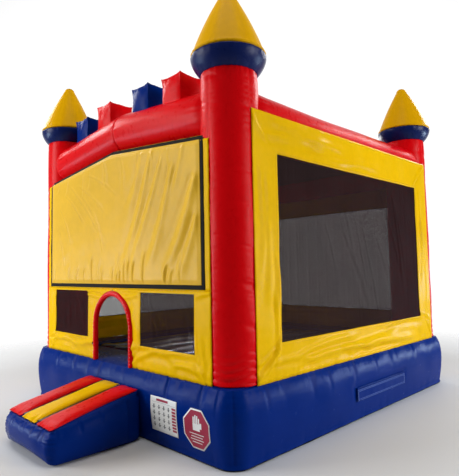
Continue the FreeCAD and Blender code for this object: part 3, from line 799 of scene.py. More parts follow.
@dataclass
class BaseSkirt:
    """Blue inflated base: bulging sides, gathered top edge and the deck inside the walls.

    Attributes:
        foot_inset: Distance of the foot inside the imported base's widest part.
        corner: Radius of its corners.
        steps: Steps along a side in Y, along a side in X, and round a corner.
        heights: Levels at which its swelling is given.
        swell: How far the side stands out at each of them.
        tab_level: How far it may stand out behind an anchor tab.
    """

    foot_inset: float = 0.036
    corner: float = 0.16
    steps: tuple[int, int, int] = (300, 270, 24)
    heights: tuple[float, ...] = (0.0, 0.05, 0.15, 0.25, 0.33, 0.40, 0.45, 0.50, 0.545, 0.575, 0.600)
    swell: tuple[float, ...] = (0.005, 0.015, 0.031, 0.043, 0.048, 0.0475, 0.043, 0.034, 0.020,
                                0.007, -0.008)
    tab_level: float = 0.0345

    def __post_init__(self) -> None:
        """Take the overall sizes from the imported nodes."""
        high = low_high("base_skirt")[1]
        self.half_x = high.x - self.foot_inset
        self.half_y = high.y - self.foot_inset
        self.top = high.z
        hole = low_high("jump_floor")[1]
        self.hole_x, self.hole_y = hole.x, hole.y
        self.port = middle("zip_flap")
        low, high = low_high("zip_flap")
        self.port_half = (high.y - low.y) / 2
        self.port_level = low_high("zip_tape")[0].x - self.half_x - 0.001
        self.tabs = [middle(f"d_ring_{name}")
                     for name in ("left_front", "left_back", "back_left", "back_right")]

    def out(self, z: Array) -> Array:
        """How far the side stands out at each height."""
        fine = np.linspace(self.heights[0], self.heights[-1], 200)
        raw = np.interp(fine, self.heights, self.swell)
        soft = np.convolve(np.pad(raw, 6, mode="edge"), np.ones(13) / 13, mode="valid")
        return np.interp(z, fine, soft)

    def dent(self, x: Array, y: Array, z: Array) -> Array:
        """Flats that hold the skin back behind the deflation port and the anchor tabs."""
        swollen = self.out(z) + self.scallop(x, y, z)
        near = smooth((self.port_half + 0.10 - np.abs(y - self.port.y)) / 0.10)
        level = smooth((0.14 - np.abs(z - self.port.z)) / 0.06)
        dent = np.where(x > 0, np.clip(swollen - self.port_level, 0, None) * near * level, 0.0)
        for tab in self.tabs:
            aside = np.maximum(np.abs(x - tab.x) * (abs(tab.x) < self.half_x),
                               np.abs(y - tab.y) * (abs(tab.y) < self.half_y))
            same = (x < 0) if abs(tab.x) > self.half_x else (y > 0)
            flat = smooth((0.10 - aside) / 0.035) * smooth((0.10 - np.abs(z - tab.z)) / 0.035)
            dent += np.where(same, np.clip(swollen - self.tab_level, 0, None) * flat, 0.0)
        return dent

    def scallop(self, x: Array, y: Array, z: Array) -> Array:
        """Gentle bulges between the webs inside, strongest below the top edge."""
        place = x + y
        wave = 0.5 * np.sin(2 * math.pi * place / 0.46) + 0.5 * np.sin(2 * math.pi * place / 0.83)
        return 0.0055 * wave * smooth((z - 0.1) / 0.25) * smooth((0.62 - z) / 0.1)

    def side_point(self, plane: Plane, along: Array, z: Array, lift: float) -> Array:
        """Points just above the skin of one side, without its gathers.

        Args:
            plane: Side of the house.
            along: Place along the side.
            z: Heights.
            lift: Height above the skin.

        Returns:
            Array of points.
        """
        half = self.half_y if plane in (Plane.FRONT, Plane.BACK) else self.half_x
        flat = plane.points(along, z, np.full(np.shape(along), half))
        out = half + self.out(z) + lift + self.scallop(flat[..., 0], flat[..., 1], z)
        if plane is Plane.RIGHT:
            out = out - self.dent(flat[..., 0], along, z)
        return plane.points(along, z, out)

    def build(self, palette: Palette) -> None:
        """Make the skirt as one closed ring, and the ground sheet under it."""
        nominal = rounded_rectangle(self.half_x, self.half_y, self.corner, self.steps)
        place, length = loop_places(nominal)
        fine = Gathers(3, length, 0.070, 0.015, 0.0050).at(place)
        broad = Gathers(4, length, 0.24, 0.030, 0.013).at(place)
        hem = Gathers(5, length, 0.13, 0.035, 0.006).at(place)
        corner_place = self.corner_distance(nominal)
        rows = []
        rise = self.top - self.heights[-1]
        levels = np.concatenate([[0.010, 0.012, 0.020, 0.034], np.linspace(0.05, 0.44, 20),
                                 np.linspace(0.45, self.heights[-1], 22)])
        lip = [0.006, 0.010, 0.009, 0.002] + [0.0] * (len(levels) - 4)
        for z, extra in zip(levels, lip):
            level = np.full(len(place), z)
            out = self.out(level) + extra + self.scallop(nominal[:, 0], nominal[:, 1], level)
            out = out + fine * smooth((z - 0.47) / 0.11) + broad * smooth((z - 0.33) / 0.22)
            out = out + hem * smooth((0.16 - z) / 0.14)
            seam = -0.010 * hump(corner_place / 0.012) * smooth(z / 0.1)
            tucks = Gathers(6, 0.7, 0.047, 0.010, 0.008).at(np.array([z]))[0]
            out = out + seam + tucks * hump(corner_place / 0.07)
            rows.append(self.ring(out - self.dent(nominal[:, 0], nominal[:, 1], level), level))
        deck_ripple = Ripple(8, 0.4, 0.004)
        for share in (0.03, 0.07, 0.14, 0.25, 0.4, 0.55, 0.7, 0.82, 0.91, 0.97, 1.0):
            puff = rise * (1 - (2 * share - 1) ** 4) * 1.4
            flat = self.deck_ring(share)
            z = self.heights[-1] + puff + deck_ripple.at(flat) * math.sin(math.pi * share)
            z = z + (fine + broad) * 0.5 * math.exp(-share / 0.06)
            rows.append(np.column_stack([flat, z]))
        for z in (0.575, 0.30, 0.010):
            rows.append(np.column_stack([self.deck_ring(1.0), np.full(len(place), z)]))
        skirt = Skin().grid(np.array(rows), wrap_rows=True, wrap_columns=True)
        skirt.build("base_skirt_inflated", palette.blue, "blue_vinyl", "base_skirt", fill=0.85)
        self.ground_sheet(palette)

    def corner_distance(self, nominal: Array) -> Array:
        """Distance from the nearest corner's middle, along the skirt."""
        inner = np.array([self.half_x - self.corner, self.half_y - self.corner])
        beyond = np.abs(nominal) - inner
        slant = np.where((beyond > 0).all(axis=1), beyond[:, 0] - beyond[:, 1], 9.0)
        near = np.where(beyond.min(axis=1) > 0, np.abs(slant), 9.0)
        return near * 0.8

    def ring(self, out: Array, z: Array) -> Array:
        """One level of the skirt, standing out by out from the foot."""
        inner = rounded_rectangle(self.half_x, self.half_y, self.corner, self.steps)
        return np.column_stack([inner + outward(inner) * out[:, None], z])

    def deck_ring(self, share: float) -> Array:
        """Loop between the top edge of the side, at 0, and the floor's opening, at 1."""
        edge = float(self.out(np.array([self.heights[-1]]))[0])
        outer = rounded_rectangle(self.half_x + edge, self.half_y + edge, self.corner + edge, self.steps)
        inner = rounded_rectangle(self.hole_x + 0.004, self.hole_y + 0.004, 0.03, self.steps)
        return outer + (inner - outer) * share

    def ground_sheet(self, palette: Palette) -> None:
        """Heavy sheet that the base is sewn to, with its hem just showing."""
        margin = 0.014
        steps = (60, 56, 10)
        rows = []
        for scale in (0.0, 0.5, 0.9, 1.0):
            loop = rounded_rectangle(self.half_x + margin, self.half_y + margin, self.corner + margin, steps)
            wave = Ripple(12, 0.35, 0.0012).at(loop) * scale
            rows.append(np.column_stack([loop * scale, 0.0045 + wave]))
        sheet = Skin().grid(np.array(rows), wrap_columns=True, flip=True)
        obj = sheet.build("ground_sheet_cloth", palette.black, "black_vinyl", "ground_sheet",
                          thickness=0.004)


@dataclass
class JumpFloor:
    """Black quilted jumping surface whose air channels run front to back.

    Attributes:
        channels: Number of air channels.
        puff: Height of their crowns above the seams.
        edge_roll: Length over which they close at both ends.
    """

    channels: int = 8
    puff: float = 0.042
    edge_roll: float = 0.11

    def build(self, palette: Palette) -> None:
        """Make the floor as one puffed sheet with its edges turned down."""
        low, high = low_high("jump_floor")
        valley = high.z - 0.034
        x = np.linspace(low.x, high.x, self.channels * 22 + 1)
        y = np.linspace(low.y, high.y, 241)
        gx, gy = np.meshgrid(x, y)
        pitch = (high.x - low.x) / self.channels
        phase = np.mod((gx - low.x) / pitch, 1.0)
        crown = np.power(np.clip(1 - (2 * phase - 1) ** 2, 0, 1), 0.62)
        tucks = np.zeros_like(gx)
        for index in range(self.channels + 1):
            seam = low.x + index * pitch
            creases = Gathers(40 + index, high.y - low.y, 0.085, 0.016, 0.009).at(gy - low.y)
            tucks += creases * hump((gx - seam) / 0.045)
        to_end = np.minimum(gy - low.y, high.y - gy)
        roll = np.power(np.clip(to_end / self.edge_roll, 0, 1), 0.5)
        front_roll = 0.022 * hump((gy - low.y - 0.085) / 0.055)
        slack = Ripple(41, 0.5, 0.004).at(stack(gx, gy))
        z = valley + (self.puff * crown * roll + tucks + slack) * 0.9 + front_roll
        z = np.minimum(z, high.z + 0.012)
        drop = -0.05 * (1 - np.power(np.clip(to_end / 0.03, 0, 1), 0.5))
        points = stack(gx, gy, z + drop)
        Skin().grid(points).build("jump_floor_quilted", palette.black, "black_vinyl", "jump_floor",
                                  thickness=0.006, fill=0.8)


# ---------------- towers


@dataclass
class CornerTower:
    """One red column with its blue collar and yellow spire.

    Attributes:
        name: Which corner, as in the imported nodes.
        seed: Picks its wrinkles.
        lean: How far the spire's tip leans, in X and Y.
        around: Points round its skins.
        levels: Levels of the column's skin.
    """

    name: str
    seed: int
    lean: Pair = (0.0, 0.0)
    around: int = 128
    levels: int = 300

    def __post_init__(self) -> None:
        """Take the column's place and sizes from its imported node."""
        low, high = low_high(f"column_{self.name}")
        self.centre = (low + high) / 2
        self.radius = (high.x - low.x) / 2
        self.low, self.high = low.z, high.z
        self.sx = math.copysign(1.0, self.centre.x)
        self.sy = math.copysign(1.0, self.centre.y)

    def build(self, palette: Palette) -> None:
        """Make the column, the collar and the spire."""
        self.column(palette)
        self.collar(palette)
        self.spire(palette)

    def seams(self) -> Pair:
        """Angles at which the walls are sewn to the column."""
        return math.atan2(self.sy, 0.0), math.atan2(0.0, self.sx)

    def column(self, palette: Palette) -> None:
        """Column skin, gathered where the walls are sewn on and above its foot."""
        angle = full_turn(self.around)
        z = np.linspace(self.low, self.high, self.levels)
        ga, gz = np.meshgrid(angle, z)
        height = gz - self.low
        total = self.high - self.low
        radius = np.full_like(ga, self.radius)
        points = stack(np.cos(ga) * 0.25, np.sin(ga) * 0.25, gz)
        radius += Ripple(self.seed, 0.55, 0.0022).at(points)
        radius += 0.004 * np.sin(math.pi * height / total)
        for index, seam in enumerate(self.seams()):
            off = off_seam(ga, seam)
            fine = Gathers(self.seed + 10 + index, total, 0.046, 0.011, 0.0030).at(height + 0.03 * off)
            long = Gathers(self.seed + 20 + index, total, 0.36, 0.020, 0.0062).at(height + 0.06 * off)
            radius += -0.006 * hump(off / 0.05)
            radius += fine * hump((np.abs(off) - 0.12) / (0.16 + 0.07 * np.sin(9 * height)))
            radius += long * hump((np.abs(off) - 0.20) / 0.34)
        foot = hump(height / 0.21)
        turn = height / 0.020 + 0.9 * np.sin(2 * ga + self.seed) + 0.5 * np.sin(5 * ga)
        radius += foot * (0.004 - 0.0085 * np.power(np.abs(np.cos(turn)), 5))
        radius += 0.006 * np.exp(-height / 0.012)
        neck = np.exp(-(self.high - gz) / 0.05)
        radius += neck * (Gathers(self.seed + 30, 7.0, 0.16, 0.045, 0.007).at(ga) - 0.002)
        for seam in self.seams():
            off = off_seam(ga, seam)
            limit = (self.radius + 0.0008) / np.clip(np.cos(off), 0.5, 1)
            radius = np.where((np.abs(off) < 0.7) & (gz < self.low + 2.27),
                              np.minimum(radius, limit), radius)
        rings = stack(self.centre.x + radius * np.cos(ga), self.centre.y + radius * np.sin(ga), gz)
        Skin().closed_tube(rings).build(
            f"column_skin_{self.name}", palette.red, "red_vinyl", f"column_{self.name}", fill=0.9)

    def turned(self, profile: Sequence[Pair], gather: Callable[[Array, Array], Array], bottom: float,
               lean: Pair = (0.0, 0.0)) -> Array:
        """Rings of a turned skin.

        Args:
            profile: Radius and height of each level.
            gather: Change of radius for each angle and height.
            bottom: Height of the profile's foot.
            lean: How far its tip leans, in X and Y.

        Returns:
            Points by ring.
        """
        radius, height = np.array(profile).T
        angle = full_turn(self.around)
        ga, gr = np.meshgrid(angle, radius)
        gh = np.meshgrid(angle, height)[1]
        wide = gr + gather(ga, gh)
        shift = (gh / max(height)) ** 2
        return stack(self.centre.x + wide * np.cos(ga) + lean[0] * shift,
                     self.centre.y + wide * np.sin(ga) + lean[1] * shift, bottom + gh)

    def collar(self, palette: Palette) -> None:
        """Blue ring that flares from the column to the spire's rim."""
        low, high = low_high(f"collar_{self.name}")
        rim = (high.x - low.x) / 2
        tall = high.z - low.z
        profile = [(self.radius + 0.003, 0.0)]
        for share in np.linspace(0.04, 0.94, 18):
            bulge = math.sin(share * math.pi * 0.5) ** 0.85
            profile.append((self.radius + (rim + 0.006 - self.radius) * bulge, share * tall))
        profile += [(rim + 0.003, 0.97 * tall), (rim - 0.010, tall - 0.002)]
        rim_gathers = Gathers(self.seed + 50, 2 * math.pi, 0.17, 0.035, 0.007)
        neck_gathers = Gathers(self.seed + 51, 2 * math.pi, 0.21, 0.04, 0.006)

        def gather(angle: Array, height: Array) -> Array:
            """Creases below the rim and above the neck."""
            return (rim_gathers.at(angle) * hump((tall - height) / 0.045)
                    + neck_gathers.at(angle) * hump(height / 0.04))

        rings = self.turned(profile, gather, low.z)
        Skin().closed_tube(rings).build(
            f"collar_skin_{self.name}", palette.collar, "blue_vinyl", f"collar_{self.name}", fill=0.85)

    def spire(self, palette: Palette) -> None:
        """Yellow cone with a puffed rim and a blunt tip."""
        low, high = low_high(f"spire_{self.name}")
        rim = (high.x - low.x) / 2
        tall = high.z - low.z
        blunt = 0.058
        profile = [(rim - 0.012, 0.0), (rim + 0.001, 0.006), (rim + 0.004, 0.018)]
        for share in np.linspace(0.06, 0.90, 30):
            straight = rim + (blunt - rim) * share / 0.92
            profile.append((straight + 0.020 * math.sin(math.pi * share) ** 0.8, share * tall))
        for turn in np.linspace(0.12, 1.0, 9):
            around = turn * math.pi / 2
            profile.append((blunt * 1.12 * math.cos(around) + 0.001,
                            (0.905 + 0.095 * math.sin(around)) * tall))
        rim_gathers = Gathers(self.seed + 60, 2 * math.pi, 0.14, 0.035, 0.007)
        gores = 6

        def gather(angle: Array, height: Array) -> Array:
            """Creases at the rim and shallow valleys along the gore seams."""
            valley = np.abs(np.sin(angle * gores / 2 + self.seed)) ** 0.5
            body = smooth(height / 0.1) * smooth((tall - height) / 0.12)
            return (rim_gathers.at(angle) * hump(height / 0.05) - 0.005 * (1 - valley) * body)

        rings = self.turned(profile, gather, low.z, self.lean)
        Skin().closed_tube(rings).build(
            f"spire_skin_{self.name}", palette.spire, "yellow_vinyl", f"spire_{self.name}", fill=0.85)


# ---------------- beams and battlements


@dataclass
class TopBeam:
    """Red tube between two columns.

    Attributes:
        name: Which beam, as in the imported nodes.
        seed: Picks its wrinkles.
        gable: Rise of its middle, 0 for a straight beam.
        seams: Angles of the seams along it.
        around: Points round it.
        steps: Levels along it.
    """

    name: str
    seed: int
    gable: float = 0.0
    seams: tuple[float, ...] = (-0.5 * math.pi, 0.5 * math.pi)
    around: int = 96
    steps: int = 330

    def build(self, palette: Palette, column_radius: float, column_x: float, column_y: float) -> None:
        """Make the beam between its columns.

        Args:
            palette: Finishes.
            column_radius: Radius of the columns.
            column_x: Distance of the columns' centres from the middle plane, in X.
            column_y: The same in Y.
        """
        low, high = low_high(f"{self.name}_beam")
        across = self.name in ("front", "back")
        reach = (column_x if across else column_y) - 0.42 * column_radius
        centre = (low + high) / 2
        radius = (high.y - low.y) / 2 if across else (high.x - low.x) / 2
        level = low.z + radius + (self.gable and column_radius * self.gable / column_x)
        s = np.linspace(-reach, reach, self.steps)
        angle = full_turn(self.around)
        ga, gs = np.meshgrid(angle, s)
        to_end = reach - np.abs(gs)
        rise = self.gable * (1 - np.abs(gs) / column_x)
        sag = -0.014 * (1 - (gs / reach) ** 2) if not self.gable else 0.0
        skin = Ripple(self.seed, 0.6, 0.0028).at(stack(gs, np.cos(ga) * 0.25, np.sin(ga) * 0.25))
        for seam in self.seams:
            off = off_seam(ga, seam)
            fine = Gathers(self.seed + 3, 2 * reach, 0.075, 0.013, 0.0045).at(gs + reach)
            skin = skin + fine * hump(off / 0.22) - 0.003 * hump(off / 0.05)
        ends = Gathers(self.seed + 5, 7.0, 0.15, 0.035, 0.0085).at(ga)
        close = hump(to_end / 0.06)
        skin = skin + ends * hump((to_end - 0.12) / 0.10)
        wide = radius + 0.012 - 0.024 * close
        tall = radius + 0.012 * hump(to_end / 0.15)
        if self.gable:
            peak = hump(gs / 0.012)
            tucks = Gathers(self.seed + 7, 7.0, 0.30, 0.05, 0.010).at(ga)
            skin = skin - 0.010 * peak + tucks * hump(gs / 0.06)
        y = (wide + skin) * np.cos(ga)
        z = level + rise + sag + (tall + skin) * np.sin(ga)
        if across:
            rings = stack(centre.x + gs, centre.y + y, z)
        else:
            rings = stack(centre.x + y, centre.y + gs, z)
        Skin().closed_tube(rings, flip=not across).build(
            f"{self.name}_beam_skin", palette.red, "red_vinyl", f"{self.name}_beam", fill=0.9)


@dataclass(frozen=True)
class PuffedCube:
    """Cube of half size 1, blown up inside its seams.

    Attributes:
        seed: Picks its tucks.
        cells: Cells along each edge.
        bulge: How far the middle of each face swells, by axis.
        pinch: How far the middle of an edge draws in.
        ear: How far a corner points out.
        tuck: Depth of the tucks across its seams, by axis.
        roundness: Power of the swelling; a lower one rounds the edges more.
    """

    seed: int
    cells: int = 30
    bulge: Colour = (0.10, 0.10, 0.10)
    pinch: float = 0.045
    ear: float = 0.022
    tuck: Colour = (0.03, 0.03, 0.03)
    roundness: float = 0.85

    def faces(self) -> list[tuple[Array, bool]]:
        """Points of each face, and whether its grid has to be turned over."""
        line = np.sin(np.linspace(-math.pi / 2, math.pi / 2, self.cells + 1))
        u, v = np.meshgrid(line, line)
        made = []
        for axis in range(3):
            for side in (-1.0, 1.0):
                others = [a for a in range(3) if a != axis]
                points = np.empty(u.shape + (3,))
                points[..., axis] = side
                points[..., others[0]] = u
                points[..., others[1]] = v
                made.append((self.swell(points), (side > 0) == (axis == 1)))
        return made

    def swell(self, points: Array) -> Array:
        """Move points of the cube as air pressure does between its seams."""
        moved = points.copy()
        for i in range(3):
            j, k = [a for a in range(3) if a != i]
            p, q, r = points[..., i], points[..., j] ** 2, points[..., k] ** 2
            face = self.bulge[i] * np.power(np.clip((1 - q) * (1 - r), 0, 1), self.roundness)
            edge = self.pinch * (q ** 2 * (1 - r) + r ** 2 * (1 - q))
            corner = self.ear * (q * r) ** 3
            tucks = 0.0
            for a, b in ((j, k), (k, j)):
                for side in (-1.0, 1.0):
                    creases = Gathers(self.seed + 7 * i + 3 * a + int(side), 2.0, 0.17, 0.05,
                                      self.tuck[i]).at(points[..., b] + 1)
                    off = (side * points[..., a] - 0.86) / 0.16
                    tucks = tucks + creases * hump(off) * (1 - points[..., b] ** 6)
            moved[..., i] += np.sign(p) * p ** 4 * (face - edge + corner + tucks)
        return moved


@dataclass
class Merlon:
    """One puffed battlement block with pointed corners.

    Attributes:
        name: Which block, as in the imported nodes.
        seed: Picks its wrinkles.
        blue: True for a blue block, False for a red one.
    """

    name: str
    seed: int
    blue: bool

    def build(self, palette: Palette) -> None:
        """Make the block, sunk a little into the beam that it is sewn to."""
        low, high = low_high(f"merlon_{self.name}")
        sink = Vector((0, 0, 0.03))
        centre, half = (low - sink + high) / 2, (high - low + sink) / 2
        skin = Skin()
        for points, flip in PuffedCube(self.seed).faces():
            ripple = Ripple(self.seed, 0.9, 0.012).at(points)[..., None]
            shaped = points * (0.95 + ripple) * np.array(half) + np.array(centre)
            skin.grid(shaped, flip=flip)
        finish, slot = (palette.blue, "blue_vinyl") if self.blue else (palette.red, "red_vinyl")
        obj = skin.build(f"battlement_{self.name}", finish, slot, f"merlon_{self.name}", fill=0.75)
        seams = obj.modifiers.new("seams", "WELD")
        seams.merge_threshold = 0.0006


# ---------------- walls and nets


Extent = tuple[float, float, float, float]


def extent_of(node: str, plane: Plane, margin: float = 0.0) -> Extent:
    """Ends of a packed panel along its plane, and its lowest and highest point.

    Args:
        node: Name of the node.
        plane: Plane that it lies in.
        margin: Distance to add all round.

    Returns:
        Start, end, bottom and top.
    """
    low, high = low_high(node)
    start, end = (low.y, high.y) if plane.value[0] else (low.x, high.x)
    return start - margin, end + margin, low.z - margin, high.z + margin


def cuts(low: float, high: float, pitch: float, stops: Iterable[float] = ()) -> Array:
    """Evenly spaced places from low to high that also hit every stop."""
    marks = sorted({low, high, *stops})
    runs = [np.linspace(a, b, max(2, round((b - a) / pitch) + 1)) for a, b in zip(marks, marks[1:])]
    return np.unique(np.concatenate(runs).round(6))


def seam_folds(seed: int, extent: Extent, window: Extent, height: float) -> list[Fold]:
    """Folds that the seams pull into the strips round a window.

    Args:
        seed: Picks the folds.
        extent: Ends of the panel.
        window: Ends of its window.
        height: Height of the highest fold.

    Returns:
        The folds.
    """
    rng = np.random.default_rng(seed)
    a0, a1, z0, z1 = extent
    w0, w1, v0, v1 = window
    folds = []
    for near, far, number in (((w0, v0), (a0, z0), 4), ((w1, v0), (a1, z0), 4),
                              ((w0, v1), (a0, z1), 1), ((w1, v1), (a1, z1), 2)):
        for _ in range(number):
            start = np.add(near, rng.normal(0, 0.05, 2))
            end = np.add(far, rng.normal(0, 0.09, 2))
            folds.append(Fold(tuple(start), tuple(end), rng.uniform(0.012, 0.028),
                              height * rng.uniform(0.4, 0.9)))
    strips = (((a0, a1), (z0, v0), 9, 1.0), ((a0, a1), (v1, z1), 6, 0.55))
    for (b0, b1), (y0, y1), number, share in strips:
        for _ in range(number):
            reach = rng.uniform(0.2, 0.42) * (b1 - b0)
            start = rng.uniform(b0, b1 - reach)
            level = rng.uniform(y0 + 0.2 * (y1 - y0), y1 - 0.12 * (y1 - y0))
            tilt = rng.uniform(-0.25, 0.25) * (y1 - y0)
            folds.append(Fold((start, level), (start + reach, level + tilt),
                              rng.uniform(0.10, 0.17) * (y1 - y0),
                              share * height * rng.uniform(0.5, 1.0)))
    for b0, b1 in ((a0, w0), (w1, a1)):
        for _ in range(5):
            reach = rng.uniform(0.25, 0.5) * (z1 - z0)
            start = rng.uniform(z0, z1 - reach)
            place = rng.uniform(b0 + 0.2 * (b1 - b0), b1 - 0.1 * (b1 - b0))
            folds.append(Fold((place, start + reach), (place + rng.uniform(-0.03, 0.03), start),
                              rng.uniform(0.05, 0.11) * (b1 - b0) + 0.006,
                              0.55 * height * rng.uniform(0.5, 1.0)))
    return folds


@dataclass
class Panel:
    """Sewn sheet of wall, with or without a netted window.

    Attributes:
        name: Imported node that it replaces.
        plane: Side of the house that it is on.
        seed: Picks its wrinkles.
        net: Node of the net in its window, or None.
        height: Height of its folds.
        sag: How far its middle is drawn in.
        pitch: Size of its cells.
        foot: How far its bottom edge reaches below its node.
    """

    name: str
    plane: Plane
    seed: int
    net: str | None = None
    height: float = 0.019
    sag: float = 0.012
    pitch: float = 0.019
    foot: float = 0.012

    def __post_init__(self) -> None:
        """Take the panel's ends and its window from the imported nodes."""
        self.extent = extent_of(self.name, self.plane)
        self.window = extent_of(self.net, self.plane, 0.001) if self.net else None
        centre = middle(self.name)
        self.face = abs(centre.x if self.plane.value[0] else centre.y)
        self.folds = seam_folds(self.seed, self.extent, self.window, self.height) if self.net else []

    def calm(self, along: Array, z: Array) -> Array:
        """Share of the folds that is left inside the window, where the net is taut."""
        if not self.window:
            return np.ones(np.broadcast(along, z).shape)
        w0, w1, v0, v1 = self.window
        inside = np.minimum(np.minimum(along - w0, w1 - along), np.minimum(z - v0, v1 - z))
        return np.exp(-np.clip(inside, 0, None) / 0.10)

    def to_side(self, along: Array) -> Array:
        """Distance from the nearest sewn side edge."""
        start, end = self.extent[:2]
        return np.minimum(along - start, end - along)

    def out(self, along: Array, z: Array) -> Array:
        """Distance of the sheet from the house's centre at each place."""
        start, end, low, high = self.extent
        s = np.clip((along - start) / (end - start), 0, 1)
        t = np.clip((z - low) / (high - low), 0, 1)
        drawn = self.sag * np.sin(math.pi * s) * np.sin(math.pi * t)
        shallow = Ripple(self.seed + 1, 0.42, 0.0022).at(np.stack(np.broadcast_arrays(along, z), axis=-1))
        bottom = Gathers(self.seed + 2, end - start, 0.075, 0.014, 0.011).at(along - start)
        top = Gathers(self.seed + 3, end - start, 0.11, 0.018, 0.007).at(along - start)
        sides = Gathers(self.seed + 4, high - low, 0.10, 0.016, 0.008).at(z - low)
        to_side = self.to_side(along)
        puckers = (bottom * np.exp(-(z - low) / 0.06) + top * np.exp(-(high - z) / 0.05)
                   + sides * np.exp(-np.clip(to_side, 0, None) / 0.05))
        free = smooth(np.minimum(np.minimum(z - low, high - z), to_side) / 0.03)
        folds = fold_field(self.folds, along, z) * free * self.calm(along, z)
        out = self.face - drawn + shallow * free + 0.8 * puckers * (1 - 0.3 * free) + folds
        from_post = np.clip(np.minimum(along - start, end - along), 0, None)
        return np.maximum(out, self.face - 0.0012 - 1.8 * from_post ** 2)

    def build(self, palette: Palette) -> None:
        """Make the sheet, its stitching and its net."""
        start, end, low, high = self.extent
        w0, w1, v0, v1 = self.window
        along = cuts(start, end, self.pitch, (w0, w1))
        z = cuts(low, high, self.pitch, (v0, v1))
        ga, gz = np.meshgrid(along, z)
        gz[0] -= self.foot
        keep = ~((ga[:-1, :-1] > w0 - 1e-4) & (ga[1:, 1:] < w1 + 1e-4)
                 & (gz[:-1, :-1] > v0 - 1e-4) & (gz[1:, 1:] < v1 + 1e-4))
        self.sheet(palette, self.plane.points(ga, gz, self.out(ga, gz)), keep,
                   (end - start) * (high - low) - (w1 - w0) * (v1 - v0))
        self.stitch(palette)
        self.net_sheet(palette)

    def sheet(self, palette: Palette, points: Array, keep: Array | None, area: float) -> None:
        """Make the wall's sheet from its points."""
        start, end, low, high = self.extent
        skin = Skin().grid(points, keep=keep, flip=self.plane.flips)
        obj = skin.build(f"{self.name}_sheet", palette.yellow, "yellow_vinyl", self.name, thickness=0.003)

    def loop(self, margin: float, lift: float) -> list[Vector]:
        """Rectangle round the window, margin outside its edge."""
        w0, w1, v0, v1 = self.window
        w0, w1, v0, v1 = w0 - margin, w1 + margin, v0 - margin, v1 + margin
        runs = []
        for (a, b), (c, d) in zip(((w0, v0), (w1, v0), (w1, v1), (w0, v1)),
                                  ((w1, v0), (w1, v1), (w0, v1), (w0, v0))):
            steps = max(2, round(math.hypot(c - a, d - b) / 0.03))
            share = np.arange(steps) / steps
            runs.append(stack(a + (c - a) * share, b + (d - b) * share))
        places = np.concatenate(runs + [[(w0, v0)]])
        out = self.out(places[:, 0], places[:, 1]) + lift
        return [Vector(p) for p in self.plane.points(places[:, 0], places[:, 1], out)]

    def stitch(self, palette: Palette) -> None:
        """Sew two rows of stitches round the window."""
        face = Vector((*self.plane.value, 0))
        skin = Skin()
        for margin in (0.010, 0.026):
            stitch_run(skin, self.loop(margin, 0.0022), face, pitch=0.014)
        skin.build(f"{self.name}_stitching", palette.thread_yellow, "yellow_vinyl")

    def net_sheet(self, palette: Palette) -> None:
        """Hang the net in the window, its edge sewn behind the wall."""
        w0, w1, v0, v1 = self.window
        edge = 0.011
        ga, gz = np.meshgrid(cuts(w0 - edge, w1 + edge, 0.012), cuts(v0 - edge, v1 + edge, 0.024))
        out = self.out(ga, gz) - 0.0045
        rng = np.random.default_rng(self.seed + 9)
        wide, tall = w1 - w0, v1 - v0
        creases = []
        for _ in range(9):
            place, level = rng.uniform(0.05, 0.85), rng.uniform(0.55, 1.0)
            creases.append(Fold((w0 + place * wide, v0 + level * tall),
                                (w0 + (place + rng.uniform(0.02, 0.22)) * wide,
                                 v0 + rng.uniform(0.0, 0.4) * tall),
                                rng.uniform(0.015, 0.035), rng.uniform(0.005, 0.010)))
        loose = np.minimum(np.minimum(ga - w0, w1 - ga), np.minimum(gz - v0, v1 - gz))
        gather = Gathers(self.seed + 8, wide, 0.06, 0.014, 0.0045).at(ga - w0)
        out = out + (fold_field(creases, ga, gz) + gather * 0.6) * smooth(loose / 0.05)
        skin = Skin().grid(self.plane.points(ga, gz, out), flip=self.plane.flips)
        obj = skin.build(f"{self.net}_mesh", palette.net, "net", self.net)


